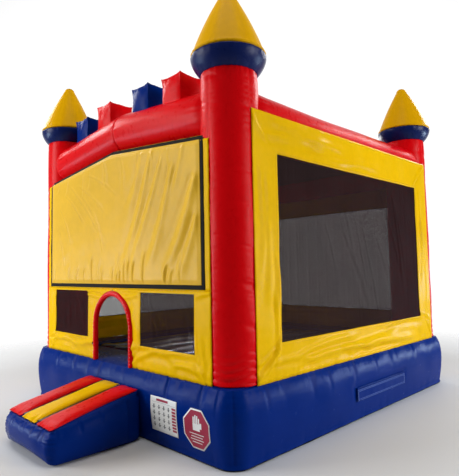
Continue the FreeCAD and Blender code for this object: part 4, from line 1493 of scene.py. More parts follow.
@dataclass
class DoorPanel(Panel):
    """Lower front sheet beside the arched doorway.

    Attributes:
        door: Half width of the doorway's cut.
        spring: Height at which its arch starts.
    """

    door: float = 0.374
    spring: float = 0.971

    def to_side(self, along: Array) -> Array:
        """Distance from the column, as the other edge is sewn to its twin."""
        return max(abs(self.extent[0]), abs(self.extent[1])) - np.abs(along)

    def calm(self, along: Array, z: Array) -> Array:
        """Share of the folds left inside the window and where the two sheets meet."""
        return super().calm(along, z) * smooth(np.abs(along) / 0.15)

    def build(self, palette: Palette) -> None:
        """Make the sheet so that its inner edge follows the doorway."""
        start, end, low, high = self.extent
        side = 1.0 if end > 0.1 else -1.0
        w0, w1, v0, v1 = self.window
        outer, near, far = max(abs(start), abs(end)), min(abs(w0), abs(w1)), max(abs(w0), abs(w1))
        turn = np.linspace(0, math.pi / 2, 26)
        arch = self.spring + self.door * np.sin(turn)
        z = np.unique(np.concatenate([cuts(low, self.spring, self.pitch, (v0,)), arch, [v1, high]]).round(6))
        inner = np.sqrt(np.clip(self.door ** 2 - np.clip(z - self.spring, 0, None) ** 2, 0, None))
        fixed = cuts(near, outer, self.pitch, (far,))
        share = np.linspace(0, 1, 22)[:-1]
        rows = [np.concatenate([inner[i] + (near - inner[i]) * share, fixed]) for i in range(len(z))]
        ga = side * np.array(rows)
        gz = np.repeat(z[:, None], ga.shape[1], axis=1)
        gz[0] -= self.foot
        beside = np.abs(ga)
        keep = ~((beside[:-1, :-1] > near - 1e-4) & (beside[1:, 1:] < far + 1e-4)
                 & (gz[:-1, :-1] > v0 - 1e-4) & (gz[1:, 1:] < v1 + 1e-4))
        hole = (w1 - w0) * (v1 - v0)
        cut = self.door * (self.spring - low) + math.pi * self.door ** 2 / 4
        points = self.plane.points(ga, gz, self.out(ga, gz))
        if side < 0:
            points, keep = points[:, ::-1], keep[:, ::-1]
        self.sheet(palette, points, keep, (end - start) * (high - low) - hole - cut)
        self.stitch(palette)
        self.net_sheet(palette)


@dataclass
class GablePanel(Panel):
    """Upper front sheet under the gabled beam, where the banner hangs.

    Attributes:
        drop: Fall of its top edge from the middle to the ends.
        turn_in: How far the top edge turns in under the beam.
    """

    drop: float = 0.14
    turn_in: float = 0.068

    def top(self, along: Array) -> Array:
        """Height of the sheet's top edge."""
        _, end, _, high = self.extent
        return high - self.drop * np.abs(along) / end

    def out(self, along: Array, z: Array) -> Array:
        """Distance of the sheet from the centre, nearly flat behind the banner."""
        start, end, low, _ = self.extent
        to_top = self.top(along) - z
        to_side = np.minimum(along - start, end - along)
        top = Gathers(self.seed + 3, end - start, 0.085, 0.016, 0.009).at(along - start)
        sides = Gathers(self.seed + 4, 1.5, 0.09, 0.015, 0.007).at(z - low)
        shallow = Ripple(self.seed + 1, 0.35, 0.0012).at(np.stack(np.broadcast_arrays(along, z), axis=-1))
        bend = self.turn_in * (1 - smooth(to_top / 0.075)) ** 1.3
        edge = smooth(np.minimum(to_side, z - low) / 0.02)
        return (self.face - bend + top * hump(to_top / 0.035) + shallow * edge
                + sides * np.exp(-np.clip(to_side, 0, None) / 0.035))

    def build(self, palette: Palette) -> None:
        """Make the sheet up to its gabled top edge."""
        start, end, low, high = self.extent
        along = cuts(start, end, self.pitch, (0.0,))
        share = np.concatenate([np.linspace(0, 0.9, 60)[:-1], np.linspace(0.9, 1, 24)])
        ga, gs = np.meshgrid(along, share)
        gz = low + gs * (self.top(ga) - low)
        self.sheet(palette, self.plane.points(ga, gz, self.out(ga, gz)), None,
                   (end - start) * (high - low - self.drop / 2))


# ---------------- banner, trim and roof


@dataclass
class Banner:
    """Yellow art panel and the hook-and-loop strips that hold it.

    Attributes:
        wall: Panel that the strips are sewn to.
        strip: Width of the strips.
    """

    wall: GablePanel
    strip: float = 0.058

    def build(self, palette: Palette) -> None:
        """Make the strips and the banner."""
        self.frame(palette)
        self.cloth(palette)

    def outline(self, extent: Extent, inset: float) -> list[Pair]:
        """Corners of a gabled outline, inset from its node's edge."""
        start, end, low, high = extent
        slope = self.wall.drop / self.wall.extent[1]
        top = high - slope * end - inset
        return [(start + inset, low + inset), (end - inset, low + inset), (end - inset, top),
                (0.0, high - inset), (start + inset, top)]

    def frame(self, palette: Palette) -> None:
        """Make the black strips as one stitched frame."""
        extent = extent_of("banner_frame", Plane.FRONT)
        outer, inner = self.outline(extent, 0.0), self.outline(extent, self.strip)
        skin, length = Skin(), 0.0
        for k in range(5):
            a, b = np.array(outer[k]), np.array(outer[(k + 1) % 5])
            c, d = np.array(inner[k]), np.array(inner[(k + 1) % 5])
            length += float(np.linalg.norm(b - a))
            steps = max(2, round(float(np.linalg.norm(b - a)) / 0.03))
            t = np.linspace(0, 1, steps + 1)[:, None]
            edge, back = a + (b - a) * t, c + (d - c) * t
            rows = [edge + (back - edge) * s for s in (0.0, 0.25, 0.5, 0.75, 1.0)]
            places = np.array(rows)
            wave = Ripple(300 + k, 0.22, 0.0004).at(places)
            out = self.wall.out(places[..., 0], places[..., 1]) + 0.0032
            out = np.maximum(out, self.wall.face - 0.02) + np.abs(wave)
            skin.grid(Plane.FRONT.points(places[..., 0], places[..., 1], out))
        obj = skin.build("banner_frame_strips", palette.hook, "hook_and_loop", "banner_frame",
                         thickness=0.003)

    def folds(self, extent: Extent) -> list[Fold]:
        """Drape folds that fan across the banner."""
        start, end, low, high = extent
        rng = np.random.default_rng(17)
        wide, tall = end - start, high - low
        folds = []
        broad = ((0.77, 0.98, 0.565, 0.03, 0.055, 0.012), (0.83, 0.92, 0.60, 0.03, 0.050, 0.011),
                 (0.99, 0.72, 0.83, 0.04, 0.075, 0.019), (0.99, 0.46, 0.885, 0.02, 0.060, 0.014),
                 (0.71, 0.97, 0.60, 0.48, 0.050, 0.008), (0.88, 0.84, 0.72, 0.03, 0.060, 0.013),
                 (0.93, 0.99, 0.86, 0.55, 0.035, 0.007))
        slant = ((0.17, 0.86, 0.50, 0.22), (0.24, 0.84, 0.48, 0.52), (0.32, 0.90, 0.55, 0.66),
                 (0.08, 0.68, 0.20, 0.26), (0.28, 0.74, 0.43, 0.38), (0.12, 0.79, 0.31, 0.46),
                 (0.05, 0.52, 0.13, 0.10), (0.36, 0.62, 0.45, 0.20))
        for s0, t0, s1, t1, width, height in broad:
            folds.append(Fold((start + s0 * wide, low + t0 * tall), (start + s1 * wide, low + t1 * tall),
                              width, height))
        for s0, t0, s1, t1 in slant:
            folds.append(Fold((start + s0 * wide, low + t0 * tall), (start + s1 * wide, low + t1 * tall),
                              rng.uniform(0.014, 0.022), rng.uniform(0.005, 0.008)))
        for _ in range(24):
            share = rng.uniform(0.02, 0.98)
            lean = 0.05 - 0.12 * share
            reach = rng.uniform(0.12, 0.38)
            folds.append(Fold((start + share * wide, low - 0.05),
                              (start + (share - lean * reach) * wide, low + reach),
                              rng.uniform(0.014, 0.026), rng.uniform(0.004, 0.009)))
        for k in range(9):
            share = 0.06 + 0.10 * k + rng.uniform(-0.02, 0.02)
            folds.append(Fold((start + share * wide, high + 0.02 - 0.13 * abs(2 * share - 1)),
                              (start + (share + rng.uniform(-0.05, 0.03)) * wide,
                               high - rng.uniform(0.25, 0.5)),
                              rng.uniform(0.014, 0.026), rng.uniform(0.003, 0.007)))
        return folds

    def cloth(self, palette: Palette) -> None:
        """Make the banner as one draped sheet held along its edges."""
        extent = extent_of("art_banner", Plane.FRONT)
        start, end, low, high = extent
        slope = self.wall.drop / self.wall.extent[1]
        along = cuts(start, end, 0.0105, (0.0,))
        share = np.linspace(0, 1, 136)
        ga, gs = np.meshgrid(along, share)
        top = high - slope * np.abs(ga)
        gz = low + gs * (top - low)
        to_edge = np.minimum(np.minimum(ga - start, end - ga), np.minimum(gz - low, top - gz))
        relief = fold_field(self.folds(extent), ga, gz)
        relief += Ripple(23, 0.22, 0.0010).at(stack(ga, gz))
        hold = smooth(to_edge / 0.05)
        out = self.wall.face + 0.0066 + hold * (0.009 + relief)
        out = np.maximum(out, self.wall.face + 0.0066)
        skin = Skin().grid(Plane.FRONT.points(ga, gz, out))
        obj = skin.build("art_banner_cloth", palette.banner, "banner_vinyl", "art_banner", thickness=0.0012,
                         body="art_banner")


@dataclass
class DoorTrim:
    """Red padded roll sewn round the arched doorway.

    Attributes:
        radius: Radius of the roll.
        around: Points round it.
    """

    radius: float = 0.029
    around: int = 28

    def line(self) -> Array:
        """Places along the middle of the roll, as x and z."""
        low, high = low_high("door_trim")
        half = high.x - self.radius
        spring = high.z - self.radius - half
        leg = np.linspace(low.z - 0.012, spring, 45)[:-1]
        turn = np.linspace(math.pi, 0, 121)
        arch = stack(half * np.cos(turn), spring + half * np.sin(turn))
        left = stack(np.full(len(leg), -half), leg)
        return np.concatenate([left, arch, left[::-1] * [-1, 1]])

    def build(self, palette: Palette) -> None:
        """Make the roll and the small white bars along it, which are painted glints of its puckers."""
        line = self.line()
        centre = middle("door_trim")
        run = np.gradient(line, axis=0)
        run /= np.linalg.norm(run, axis=1)[:, None]
        normal = stack(-run[:, 1], run[:, 0])
        step = np.linalg.norm(np.diff(line, axis=0), axis=1)
        place = np.concatenate([[0.0], np.cumsum(step)])
        angle = full_turn(self.around)
        ga, gp = np.meshgrid(angle, place)
        creases = Gathers(61, float(place[-1]), 0.034, 0.007, 0.0050).at(gp)
        radius = self.radius + creases * (0.55 + 0.45 * np.sin(ga + 0.6))
        rings = np.empty(ga.shape + (3,))
        rings[..., 0] = line[:, None, 0] + normal[:, None, 0] * radius * np.cos(ga)
        rings[..., 1] = centre.y - radius * np.sin(ga)
        rings[..., 2] = line[:, None, 1] + normal[:, None, 1] * radius * np.cos(ga)
        Skin().closed_tube(rings).build("door_trim_roll", palette.red, "red_vinyl", "door_trim", fill=0.8)
        # white bars on the roll's front, shaped as stitches: painted glints of its puckers
        stitches = Skin()
        for k in range(4, len(line) - 4, 4):
            where = Vector((line[k, 0] + normal[k, 0] * 0.012, centre.y - self.radius + 0.0015,
                            line[k, 1] + normal[k, 1] * 0.012))
            along = Vector((run[k, 0] + 0.4 * normal[k, 0], 0, run[k, 1] + 0.4 * normal[k, 1]))
            stitches.bar(where, along, Vector((0, -1, 0)), (0.010, 0.0026, 0.0016))
        stitches.build("door_trim_stitches", palette.thread_and_glint_white, "red_vinyl")


def roof_cover(palette: Palette) -> None:
    """Make the roof sheet, hanging slightly between the beams; its dark brownish tint is painted shade of
    its underside.
    """
    low, high = low_high("roof_cover")
    edge = 0.012
    ga, gb = np.meshgrid(cuts(low.x - edge, high.x + edge, 0.04), cuts(low.y - edge, high.y + edge, 0.04))
    hang = np.cos(ga * math.pi / 2 / high.x) * np.cos(gb * math.pi / 2 / high.y)
    z = low.z + 0.003 - 0.035 * np.clip(hang, 0, None)
    z = z + Ripple(71, 0.7, 0.006).at(stack(ga, gb)) * smooth(hang / 0.2)
    skin = Skin().grid(stack(ga, gb, z))
    obj = skin.build("roof_cover_cloth", palette.roof, "dark_vinyl", "roof_cover", thickness=0.002)


# ---------------- entrance step


@dataclass
class EntranceStep:
    """Blue inflated wedge with three quilted pads on its sloping top.

    Attributes:
        arch: Rise of its front foot in the middle.
        corner: Radius of its corners.
    """

    arch: float = 0.035
    corner: float = 0.075

    def __post_init__(self) -> None:
        """Take the wedge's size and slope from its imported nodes."""
        self.low, self.high = low_high("step_body")
        pad_low, pad_high = low_high("step_pad_left")
        rise = pad_high.z - pad_low.z
        self.slope = 0.2125 if rise < 0.05 else (rise - 0.046) / (pad_high.y - pad_low.y)
        self.slope = min(self.slope, 0.2125)

    def top(self, y: Array) -> Array:
        """Height of the wedge's top at each place."""
        return self.high.z - self.slope * (self.high.y - y)

    def build(self, palette: Palette) -> None:
        """Make the wedge, its pads and the strips between them."""
        self.body(palette)
        self.pads(palette)
        self.valleys(palette)

    def body(self, palette: Palette) -> None:
        """Make the blue wedge from level rings that swell between its seams."""
        centre, half = (self.low + self.high) / 2, (self.high - self.low) / 2
        steps = (110, 110, 22)
        loop = rounded_rectangle(half.x, half.y, self.corner, steps)
        normal = outward(loop)
        place, length = loop_places(loop)
        u, v = loop[:, 0] / half.x, loop[:, 1] / half.y
        corner = np.hypot(1 - np.abs(u), 1 - np.abs(v))
        middle_share = (1 - np.abs(u * v) ** 2) * smooth(corner / 0.5)
        top_tucks = Gathers(93, length, 0.10, 0.018, 0.012).at(place)
        foot = self.arch * np.clip(1 - u ** 2, 0, 1) * smooth((-v - 0.5) / 0.5)
        roof = self.top(centre.y + loop[:, 1])
        rows = []
        for share in (1 - np.cos(np.linspace(0, math.pi, 46))) / 2:
            arc = math.sqrt(max(0.0, 1 - (2 * share - 1) ** 2))
            crease = Gathers(94, 1.0, 0.085, 0.022, 0.016).at(np.array([share]))[0]
            out = (-0.036 + 0.050 * arc + 0.034 * arc * middle_share + crease * hump(corner / 0.16)
                   + top_tucks * smooth((share - 0.62) / 0.3) + 0.004 * arc * np.sin(place * 9 + 3 * share))
            flat = loop + normal * np.where(v > 0.6, np.minimum(out, -0.004), out)[:, None]
            z = 0.004 + foot * (1 - share) + share * (roof - 0.006)
            rows.append(np.column_stack([flat + [centre.x, centre.y], z]))
        for inward in (0.97, 0.9, 0.7, 0.35):
            flat = (rows[45][:, :2] - [centre.x, centre.y]) * inward
            rows.append(np.column_stack([flat + [centre.x, centre.y],
                                         self.top(centre.y + flat[:, 1]) + 0.002]))
        Skin().closed_tube(np.array(rows)).build(
            "step_wedge", palette.blue, "blue_vinyl", "step_body", fill=0.85)

    def pads(self, palette: Palette) -> None:
        """Make the three crowned pads."""
        colours = {"left": palette.red, "middle": palette.yellow, "right": palette.red}
        for index, (name, finish) in enumerate(colours.items()):
            low, high = low_high(f"step_pad_{name}")
            centre, half = (low + high) / 2, (high - low) / 2
            v = np.sin(np.linspace(-1, 1, 90) * math.pi / 2 * 0.98)
            angle = full_turn(72)
            ga, gv = np.meshgrid(angle, v)
            end = np.power(np.clip(1 - gv ** 14, 0, 1), 0.5)
            waist = half.x * (1.02 - 0.19 * (1 - gv ** 2)) * (0.86 + 0.14 * end)
            c, s = np.cos(ga), np.sin(ga)
            across = np.sign(c) * np.abs(c) ** 0.55
            crown = np.where(s > 0, np.abs(s) ** 0.85, -0.25 * np.abs(s))
            tall = (0.034 * (0.30 + 0.70 * np.sqrt(np.clip(1 - gv ** 4, 0, 1)))) * (0.1 + 0.9 * end)
            creases = Gathers(101 + index, 2.0, 0.20, 0.06, 0.020).at(across + 1)
            creases = creases * hump((1 - np.abs(gv)) / 0.16) * np.clip(s, 0, 1)
            sides = Gathers(111 + index, 2.0, 0.085, 0.02, 0.010).at(gv + 1)
            sides = sides * np.abs(across) ** 4 * np.clip(s, 0, 1)
            y = centre.y + half.y * gv
            x = centre.x + waist * across
            z = self.top(y) + 0.004 + tall * crown + creases + sides
            slot = "yellow_vinyl" if name == "middle" else "red_vinyl"
            Skin().closed_tube(stack(x, y, z)).build(
                f"step_pad_{name}_quilted", finish, slot, f"step_pad_{name}", fill=0.8)

    def valleys(self, palette: Palette) -> None:
        """Make the black strips between the pads."""
        low, high = low_high("step_valley_strips")
        skin = Skin()
        wide = 0.052
        for x in (low.x + 0.010, high.x - 0.010):
            ga, gy = np.meshgrid(np.linspace(x - wide / 2, x + wide / 2, 7), np.linspace(low.y, high.y, 60))
            z = self.top(gy) + 0.010 + Ripple(121, 0.2, 0.001).at(stack(ga, gy))
            skin.grid(stack(ga, gy, z))
        obj = skin.build("step_valley_cloth", palette.black, "black_vinyl", "step_valley_strips",
                         thickness=0.0015)


# ---------------- signs


@dataclass
class Signs:
    """Rules placard and stop octagon on the front of the base.

    Attributes:
        base: Base whose front they lie on.
    """

    base: BaseSkirt

    def build(self, palette: Palette) -> None:
        """Make both signs."""
        self.placard(palette)
        self.octagon(palette)

    def patch(self, skin: Skin, x: Pair, z: Pair, lift: float, cells: int = 4) -> None:
        """Add a small rectangle that follows the base's front.

        Args:
            skin: Skin that gathers it.
            x: Its ends across.
            z: Its bottom and top.
            lift: Height above the base.
            cells: Cells each way.
        """
        gx, gz = np.meshgrid(np.linspace(*x, cells + 1), np.linspace(*z, cells + 1))
        skin.grid(self.base.side_point(Plane.FRONT, gx, gz, lift))

    def disc(self, skin: Skin, centre: Pair, radius: float, lift: float, corners: int,
             turn: float = 0.0) -> None:
        """Add a disc that follows the base's front.

        Args:
            skin: Skin that gathers it.
            centre: Its middle, as x and z.
            radius: Its radius.
            lift: Height above the base.
            corners: Number of sides.
            turn: Angle of the first corner.
        """
        angle = turn + np.linspace(0, 2 * math.pi, corners + 1)
        fine = np.linspace(0, corners, corners * (6 if corners < 12 else 1) + 1)
        ax = np.interp(fine, np.arange(corners + 1), np.cos(angle))
        az = np.interp(fine, np.arange(corners + 1), np.sin(angle))
        reach = np.linspace(radius, 0.0005, 8)[:, None]
        gx, gz = centre[0] + reach * ax, centre[1] + reach * az
        skin.grid(self.base.side_point(Plane.FRONT, gx, gz, lift), flip=True)

    def placard(self, palette: Palette) -> None:
        """Make the white placard with its generic pictures."""
        low, high = low_high("rules_placard")
        sheet = Skin()
        self.patch(sheet, (low.x, high.x), (low.z, high.z), 0.0022, 24)
        board = sheet.build("rules_placard_sheet", palette.white, "placard_white", "rules_placard",
                            thickness=0.0012)
        wide, tall = high.x - low.x, high.z - low.z
        head, print_, column = Skin(), Skin(), Skin()
        self.patch(head, (low.x + 0.22 * wide, low.x + 0.66 * wide),
                   (high.z - 0.12 * tall, high.z - 0.055 * tall), 0.0036)
        for row in range(4):
            level = high.z - (0.28 + 0.175 * row) * tall
            for place in range(4):
                x = low.x + (0.135 + 0.185 * place) * wide
                self.disc(print_, (x, level + 0.032 * tall), 0.026 * tall, 0.0036, 14)
                self.patch(print_, (x - 0.020 * wide, x + 0.020 * wide),
                           (level - 0.062 * tall, level + 0.002 * tall), 0.0036, 2)
                self.patch(print_, (x - 0.052 * wide, x + 0.052 * wide),
                           (level - 0.022 * tall, level - 0.006 * tall), 0.0036, 2)
            for step in (0.052, -0.036):
                self.patch(column, (low.x + 0.815 * wide, low.x + 0.965 * wide),
                           (level + (step - 0.030) * tall, level + (step + 0.030) * tall), 0.0036, 3)
        self.patch(print_, (low.x + 0.06 * wide, high.x - 0.06 * wide),
                   (high.z - 0.160 * tall, high.z - 0.154 * tall), 0.0036, 8)
        head.build("placard_heading", palette.sign, "sign_red")
        print_.build("placard_figures", palette.grey, "placard_white")
        column.build("placard_warnings", palette.sign, "sign_red")

    def octagon(self, palette: Palette) -> None:
        """Make the red octagon with its border, open hand and plain bars."""
        low, high = low_high("stop_sign")
        centre = ((low.x + high.x) / 2, (low.z + high.z) / 2)
        size = (high.x - low.x) / 2 / math.cos(math.pi / 8)
        turn = math.pi / 8
        rim, face, marks = Skin(), Skin(), Skin()
        self.disc(rim, centre, size, 0.0022, 8, turn)
        self.disc(face, centre, 0.925 * size, 0.0034, 8, turn)
        up = centre[1] + 0.20 * size
        for k, (reach, wide) in enumerate(((0.36, 0.085), (0.45, 0.09), (0.43, 0.09), (0.33, 0.08))):
            x = centre[0] + (k - 1.5) * 0.125 * size
            self.patch(marks, (x - wide * size / 2, x + wide * size / 2), (up, up + reach * size), 0.0046, 4)
        self.patch(marks, (centre[0] - 0.245 * size, centre[0] + 0.245 * size),
                   (up - 0.26 * size, up + 0.06 * size), 0.0046, 6)
        self.patch(marks, (centre[0] + 0.245 * size, centre[0] + 0.37 * size),
                   (up - 0.14 * size, up + 0.13 * size), 0.0046, 4)
        for k, reach in enumerate((0.50, 0.40, 0.46, 0.34)):
            level = centre[1] - (0.22 + 0.13 * k) * size
            self.patch(marks, (centre[0] - reach * size, centre[0] + reach * size),
                       (level - 0.018 * size, level + 0.018 * size), 0.0046, 6)
        board = rim.build("stop_sign_rim", palette.white, "placard_white", "stop_sign", thickness=0.0012)
        wide = high.x - low.x
        face.build("stop_sign_face", palette.sign, "sign_red")
        marks.build("stop_sign_hand", palette.white, "placard_white")


# ---------------- port, inlet and anchors


class DeflationPort:
    """Zipped opening in the right side, under a stitched flap."""

    def build(self, palette: Palette) -> None:
        """Make the header, the flap, the zip and its slider."""
        self.header_and_flap(palette)
        self.zip(palette)

    def header_and_flap(self, palette: Palette) -> None:
        """Make the sewn header and the hanging flap."""
        face = Vector((1, 0, 0))
        low, high = low_high("flap_header")
        rail = Skin().closed_tube(self.rail_rings(low, high))
        rail.build("flap_header_welt", palette.blue, "blue_vinyl", "flap_header", fill=0.8)
        low, high = low_high("zip_flap")
        gy, gz = np.meshgrid(cuts(low.y, high.y, 0.012), np.linspace(low.z, high.z, 16))
        free = (high.z - gz) / (high.z - low.z)
        x = (low.x + high.x) / 2 + 0.0022 * free * np.sin(gy * 21) + 0.0012 * free * np.sin(gy * 47)
        flap = Skin().grid(stack(x, gy, gz))
        obj = flap.build("zip_flap_cloth", palette.blue, "blue_vinyl", "zip_flap", thickness=0.002,
                         body="zip_flap")
        seams = Skin()
        for margin in (0.008, 0.020):
            y0, y1, z0, z1 = low.y + margin, high.y - margin, low.z + margin, high.z - margin
            points = [Vector((high.x + 0.0018, y, z)) for y, z in
                      ((y0, z0), (y1, z0), (y1, z1), (y0, z1), (y0, z0))]
            fine = [a.lerp(b, k / 24) for a, b in zip(points, points[1:]) for k in range(24)]
            stitch_run(seams, fine, face, pitch=0.010, size=(0.0085, 0.0032, 0.0014))
        seams.build("zip_flap_stitches", palette.thread_blue, "blue_vinyl", body="zip_flap")

    def rail_rings(self, low: Vector, high: Vector) -> Array:
        """Rounded bar in the header's place, slightly uneven along its length."""
        y = cuts(low.y, high.y, 0.015)
        angle = full_turn(16)
        ga, gy = np.meshgrid(angle, y)
        c, s = np.cos(ga), np.sin(ga)
        half_x, half_z = (high.x - low.x) / 2, (high.z - low.z) / 2
        uneven = 1 + 0.10 * np.sin(gy * 33) * np.sin(gy * 13)
        x = (low.x + high.x) / 2 + half_x * np.sign(c) * np.abs(c) ** 0.6 * uneven
        z = (low.z + high.z) / 2 + half_z * np.sign(s) * np.abs(s) ** 0.6
        return stack(x, gy, z)

    def zip(self, palette: Palette) -> None:
        """Make the tape with its teeth, and the slider with its pull."""
        low, high = low_high("zip_tape")
        gy, gz = np.meshgrid(cuts(low.y, high.y, 0.03), np.linspace(low.z, high.z, 5))
        tape = Skin().grid(stack(np.full(gy.shape, (low.x + high.x) / 2), gy, gz))
        obj = tape.build("zip_tape_band", palette.tape, "black_webbing", "zip_tape", thickness=0.0016)
        teeth = Skin()
        middle_z = (low.z + high.z) / 2
        for k, y in enumerate(np.arange(low.y + 0.005, high.y - 0.004, 0.005)):
            side = 0.0012 if k % 2 else -0.0012
            teeth.bar(Vector((high.x + 0.0004, y, middle_z + side)), Vector((0, 0, 1)),
                      Vector((1, 0, 0)), (0.0065, 0.0026, 0.0016))
        teeth.build("zip_teeth", palette.zip, "zip_metal")
        low, high = low_high("zip_slider")
        centre = (low + high) / 2
        tall = high.z - low.z
        slider = Skin()
        out = Vector((1, 0, 0))
        for x in (low.x + 0.0014, high.x - 0.0026):
            slider.bar(Vector((x, centre.y, high.z - 0.011)), Vector((0, 1, 0)), out, (0.030, 0.018, 0.0022))
        slider.bar(Vector((high.x - 0.002, centre.y, high.z - 0.012)), Vector((0, 1, 0)), out,
                   (0.012, 0.008, 0.0030))
        slider.bar(Vector((high.x - 0.0012, centre.y, low.z + tall * 0.32)), Vector((0, 0, 1)), out,
                   (tall * 0.62, 0.011, 0.0020))
        slider.build("zip_slider_cast", palette.zip, "zip_metal", "zip_slider", body="zip_slider")


@dataclass
class BlowerInlet:
    """Cloth sleeve at the back that a blower is strapped into.

    Attributes:
        wall: Thickness of the cloth.
    """

    wall: float = 0.003

    def build(self, palette: Palette) -> None:
        """Make the sleeve and its strap."""
        low, high = low_high("inlet_sleeve")
        band_low, band_high = low_high("sleeve_strap")
        centre, radius = (low + high) / 2, (high.x - low.x) / 2 - 0.002
        band = (band_low.y + band_high.y) / 2
        angle = full_turn(112)
        y = cuts(low.y, high.y, 0.010)
        ga, gy = np.meshgrid(angle, y)
        slack = smooth((gy - low.y) / 0.10) * (1 - hump((gy - band) / 0.05))
        folds = (Gathers(201, 2 * math.pi, 0.30, 0.09, 0.012).at(ga)
                 + 0.006 * np.sin(gy * 42 + 2.2 * np.sin(ga * 2)) + 0.004)
        rings = self.ring(centre, radius + slack * folds, ga, gy)
        sleeve = Skin().grid(rings, wrap_columns=True, flip=True)
        obj = sleeve.build("inlet_sleeve_cloth", palette.blue, "blue_vinyl", "inlet_sleeve",
                           thickness=self.wall)
        self.strap(palette, centre, (band_high.x - band_low.x) / 2 - 0.001, band_low.y, band_high.y)

    def ring(self, centre: Vector, radius: Array, angle: Array, y: Array) -> Array:
        """Points round the sleeve's axis."""
        return stack(centre.x + radius * np.cos(angle), y,
                     np.maximum(centre.z + radius * np.sin(angle), 0.012))

    def strap(self, palette: Palette, centre: Vector, radius: float, start: float, end: float) -> None:
        """Make the webbing band with its tongue and buckle."""
        angle = np.linspace(0, 2 * math.pi, 97)[:-1]
        ga, gy = np.meshgrid(angle, np.linspace(start, end, 6))
        band = Skin().grid(self.ring(centre, np.full(ga.shape, radius), ga, gy),
                           wrap_columns=True, flip=True)
        tongue = np.linspace(0.9, 2.1, 40)
        ta, ty = np.meshgrid(tongue, np.linspace(start + 0.002, end - 0.002, 5))
        lift = 0.0042 + 0.010 * smooth((ta - 1.9) / 0.2)
        band.grid(self.ring(centre, radius + lift, ta, ty), flip=True)
        obj = band.build("sleeve_strap_webbing", palette.tape, "black_webbing", "sleeve_strap",
                         thickness=0.0022)
        buckle = Skin()
        out = Vector((math.cos(1.25), 0, math.sin(1.25)))
        around = Vector((-math.sin(1.25), 0, math.cos(1.25)))
        seat = centre + out * (radius + 0.009)
        seat.y = (start + end) / 2
        for shift in (-0.022, 0.0, 0.022):
            buckle.bar(seat + around * shift, Vector((0, 1, 0)), out, (end - start + 0.012, 0.006, 0.005))
        for side in (-1, 1):
            place = seat + Vector((0, side * ((end - start) / 2 + 0.004), 0))
            buckle.bar(place, around, out, (0.052, 0.005, 0.006))
        buckle.build("sleeve_strap_buckle", palette.steel, "ring_steel")


@dataclass
class GroundAnchors:
    """Webbing tabs whose rings are staked to the ground.

    Attributes:
        tab: Height of a tab.
        behind: Distance from the ring's middle to the tab's face.
        wire: Distance from the ring's top to the middle of its bar.
        rings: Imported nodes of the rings.
    """

    tab: float = 0.110
    behind: float = 0.010
    wire: float = 0.004
    rings: tuple[str, ...] = ("d_ring_left_front", "d_ring_left_back", "d_ring_back_left",
                              "d_ring_back_right")

    def build(self, palette: Palette) -> None:
        """Make the crossed stitching on each tab."""
        for name in self.rings:
            centre = middle(name)
            left = "_ring_left" in name
            face = Vector((-1, 0, 0)) if left else Vector((0, 1, 0))
            along = Vector((0, 1, 0)) if left else Vector((1, 0, 0))
            out = (abs(centre.x) if left else abs(centre.y)) - self.behind
            bar = low_high(name)[1].z - self.wire
            seat = Vector((-out, centre.y, bar)) if left else Vector((centre.x, out, bar))
            up, half = Vector((0, 0, 1)), self.tab * 0.40
            skin = Skin()
            corners = [seat + along * (a * half) + up * (b * 0.015 + 0.031) for a, b in
                       ((-1, -1), (1, -1), (1, 1), (-1, 1), (-1, -1), (1, 1), (1, -1), (-1, 1))]
            fine = [a.lerp(b, k / 12) for a, b in zip(corners, corners[1:]) for k in range(12)]
            stitch_run(skin, fine, face, pitch=0.008)
            skin.build(f"{name}_tab_stitches", palette.thread_and_glint_white, "black_webbing")


def dress_packed_nodes(palette: Palette) -> None:
    """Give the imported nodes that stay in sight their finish."""
    finishes = {"d_ring": palette.steel, "anchor_tabs": palette.tape, "floor_baffles": palette.black}
    for obj in list(bpy.data.objects):
        if obj.type != "MESH" or obj.hide_render or "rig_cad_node" not in obj:
            continue
        for start, finish in finishes.items():
            if obj.name.startswith(start):
                for place in obj.material_slots:
                    place.material = finish


# ---------------- studio


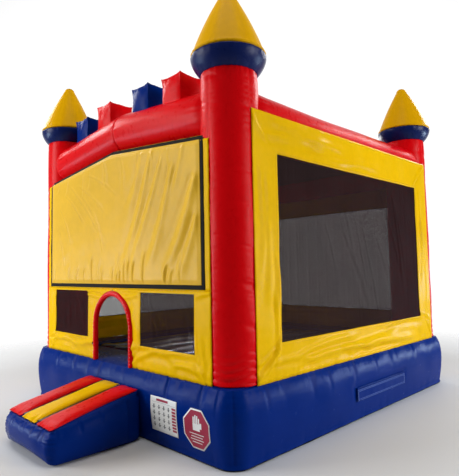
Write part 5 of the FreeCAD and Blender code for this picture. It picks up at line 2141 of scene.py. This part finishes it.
@dataclass
class Studio:
    """Pale floor, soft light and the camera.

    Attributes:
        eye: Where the camera stands.
        heading: Angle that it looks along, from +Y towards -X, in degrees.
        tilt: Angle that it looks up, in degrees.
        roll: Angle that it is rolled, in degrees.
        lens: Focal length in millimetres.
    """

    eye: Colour = (4.365, -4.544, 1.541)
    heading: float = 45.293
    tilt: float = 3.827
    roll: float = -1.135
    lens: float = 35.64

    def build(self) -> None:
        """Set up the camera, the floor and the lights."""
        self.camera()
        self.floor()
        self.lights()

    def camera(self) -> None:
        """Place the camera."""
        az, el, roll = (math.radians(v) for v in (self.heading, self.tilt, self.roll))
        ahead = Vector((-math.sin(az) * math.cos(el), math.cos(az) * math.cos(el), math.sin(el)))
        right = Vector((math.cos(az), math.sin(az), 0.0))
        up = right.cross(ahead)
        x = right * math.cos(roll) + up * math.sin(roll)
        y = up * math.cos(roll) - right * math.sin(roll)
        turn = Matrix((x, y, -ahead)).transposed().to_4x4()
        data = bpy.data.cameras.new("camera")
        data.sensor_width = 36.0
        data.lens = self.lens
        data.clip_end = 200.0
        camera = bpy.data.objects.new("camera", data)
        camera.matrix_world = Matrix.Translation(self.eye) @ turn
        bpy.context.scene.collection.objects.link(camera)
        bpy.context.scene.camera = camera

    def floor(self) -> None:
        """Lay a pale plain floor."""
        mesh = bpy.data.meshes.new("studio_floor")
        reach = 60.0
        mesh.from_pydata([(-reach, -reach, -0.001), (reach, -reach, -0.001),
                          (reach, reach, -0.001), (-reach, reach, -0.001)], [], [(0, 1, 2, 3)])
        floor = bpy.data.objects.new("studio_floor", mesh)
        bpy.context.scene.collection.objects.link(floor)
        material = bpy.data.materials.new("studio_floor")
        material.use_nodes = True
        w = Wiring(material.node_tree)
        shader = w.add("BsdfPrincipled")
        w.add("OutputMaterial", None, Surface=shader.outputs[0])
        shade = w.ramp(w.noise(w.add("TexCoord").outputs["Object"], 0.4, 2.0), 0.3, 0.7)
        tone = w.blend(shade, (0.62, 0.62, 0.62, 1.0), (0.66, 0.66, 0.66, 1.0))
        away = w.add("VectorMath", {"operation": "LENGTH"}, _0=w.add("TexCoord").outputs["Object"])
        w.fill(shader, Base_Color=tone, Alpha=w.ramp(away.outputs["Value"], 3.9, 7.2, 1.0, 0.0),
               Roughness=0.6)
        mesh.materials.append(material)
        floor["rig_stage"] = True

    def lamp(self, name: str, place: Colour, aim: Colour, size: Pair, watts: float,
             tint: Colour = (1.0, 1.0, 1.0)) -> None:
        """Hang one soft rectangular light.

        Args:
            name: Name of the light.
            place: Where it hangs.
            aim: Point that it faces.
            size: Width and height.
            watts: Power.
            tint: Colour.
        """
        data = bpy.data.lights.new(name, "AREA")
        data.shape = "RECTANGLE"
        data.size, data.size_y = size
        data.energy = watts
        data.color = tint
        lamp = bpy.data.objects.new(name, data)
        way = Vector(aim) - Vector(place)
        lamp.matrix_world = Matrix.Translation(place) @ way.to_track_quat("-Z", "Y").to_matrix().to_4x4()
        lamp.visible_camera = False
        bpy.context.scene.collection.objects.link(lamp)

    def lights(self) -> None:
        """Light the house softly from all round, most from the front and the right."""
        world = bpy.data.worlds.new("studio")
        bpy.context.scene.world = world
        world.use_nodes = True
        sky = Wiring(world.node_tree)
        way = sky.add("TexCoord").outputs["Generated"]
        behind = sky.add("VectorMath", {"operation": "DOT_PRODUCT"}, _0=way, _1=(-0.70, 0.71, 0.0))
        bright = sky.ramp(behind.outputs["Value"], 0.42, 0.82, 0.11, 1.06)
        back = sky.add("Background", None, Color=(1.0, 1.0, 1.0, 1.0), Strength=bright)
        sky.add("OutputWorld", None, Surface=back.outputs[0])
        self.lamp("key", (-5.0, -9.5, 4.2), (0.0, -1.0, 1.6), (4.5, 5.0), 650.0)
        self.lamp("fill", (9.5, 3.0, 3.2), (1.0, 0.0, 1.2), (4.0, 4.5), 515.0)
        self.lamp("top", (2.5, -3.0, 8.5), (0.6, -0.6, 0.5), (5.0, 5.0), 215.0)
        self.lamp("left_window", (-9.0, -3.0, 8.0), (0.0, -1.8, 0.6), (3.2, 2.2), 240.0)
        self.lamp("back_window", (1.8, 9.5, 7.6), (1.8, 0.0, 0.6), (2.6, 2.2), 240.0)
        self.lamp("low_left", (-6.3, -7.4, 1.15), (0.6, -2.0, 0.6), (3.4, 0.9), 230.0, SKY)
        self.lamp("low_right", (6.4, 7.6, 1.15), (1.8, 0.0, 0.5), (3.4, 0.9), 300.0, SKY)
        self.lamp("far_window", (-9.5, 7.0, 3.2), (0.0, 0.0, 0.8), (1.6, 1.8), 420.0)


# ---------------- the whole house


@dataclass
class BounceHouse:
    """The whole inflatable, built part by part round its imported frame."""

    palette: Palette

    def build(self) -> None:
        """Make every part of the house."""
        base = BaseSkirt()
        base.build(self.palette)
        JumpFloor().build(self.palette)
        towers = self.towers()
        self.beams(towers[0])
        self.walls()
        roof_cover(self.palette)
        EntranceStep().build(self.palette)
        Signs(base).build(self.palette)
        DeflationPort().build(self.palette)
        BlowerInlet().build(self.palette)
        GroundAnchors().build(self.palette)
        dress_packed_nodes(self.palette)

    def towers(self) -> list[CornerTower]:
        """Make the four corner towers."""
        towers = [CornerTower("front_right", 400), CornerTower("front_left", 430, (0.012, 0.0)),
                  CornerTower("back_right", 460, (-0.010, 0.006)), CornerTower("back_left", 490)]
        for tower in towers:
            tower.build(self.palette)
        return towers

    def beams(self, tower: CornerTower) -> None:
        """Make the beams and the battlements."""
        x, y = abs(tower.centre.x), abs(tower.centre.y)
        low, high = low_high("front_beam")
        back_low, back_high = low_high("back_beam")
        rise = (high.z - low.z) - (back_high.z - back_low.z)
        gable = rise * x / tower.radius if rise < 0.05 else 0.14
        beams = (TopBeam("right", 510), TopBeam("left", 520), TopBeam("back", 530),
                 TopBeam("front", 540, gable))
        for beam in beams:
            beam.build(self.palette, tower.radius, x, y)
        for index, name in enumerate(("outer_left", "inner_left", "inner_right", "outer_right")):
            Merlon(name, 560 + 10 * index, index % 2 == 0).build(self.palette)

    def walls(self) -> None:
        """Make the walls with their nets, the banner and the doorway's trim."""
        Panel("right_wall", Plane.RIGHT, 600, "right_net").build(self.palette)
        Panel("left_wall", Plane.LEFT, 620, "left_net").build(self.palette)
        Panel("back_wall", Plane.BACK, 640, "back_net").build(self.palette)
        DoorPanel("front_wall_left", Plane.FRONT, 660, "front_net_left", 0.013, 0.0).build(self.palette)
        DoorPanel("front_wall_right", Plane.FRONT, 680, "front_net_right", 0.013, 0.0).build(self.palette)
        upper = GablePanel("front_wall_upper", Plane.FRONT, 700)
        upper.build(self.palette)
        Banner(upper).build(self.palette)
        DoorTrim().build(self.palette)


def main() -> None:
    """Build the house and its studio, and work out their overall sizes."""
    logging.basicConfig(level=logging.INFO, format="%(message)s")
    BounceHouse(Palette()).build()
    Studio().build()
    bpy.context.scene.view_settings.view_transform = "Standard"
    boxes = {"cad": CAD_BOX, "visual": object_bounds()}
    plain = {key: [[float(v) for v in corner] for corner in box] for key, box in boxes.items()}


if __name__ == "__main__":
    main()
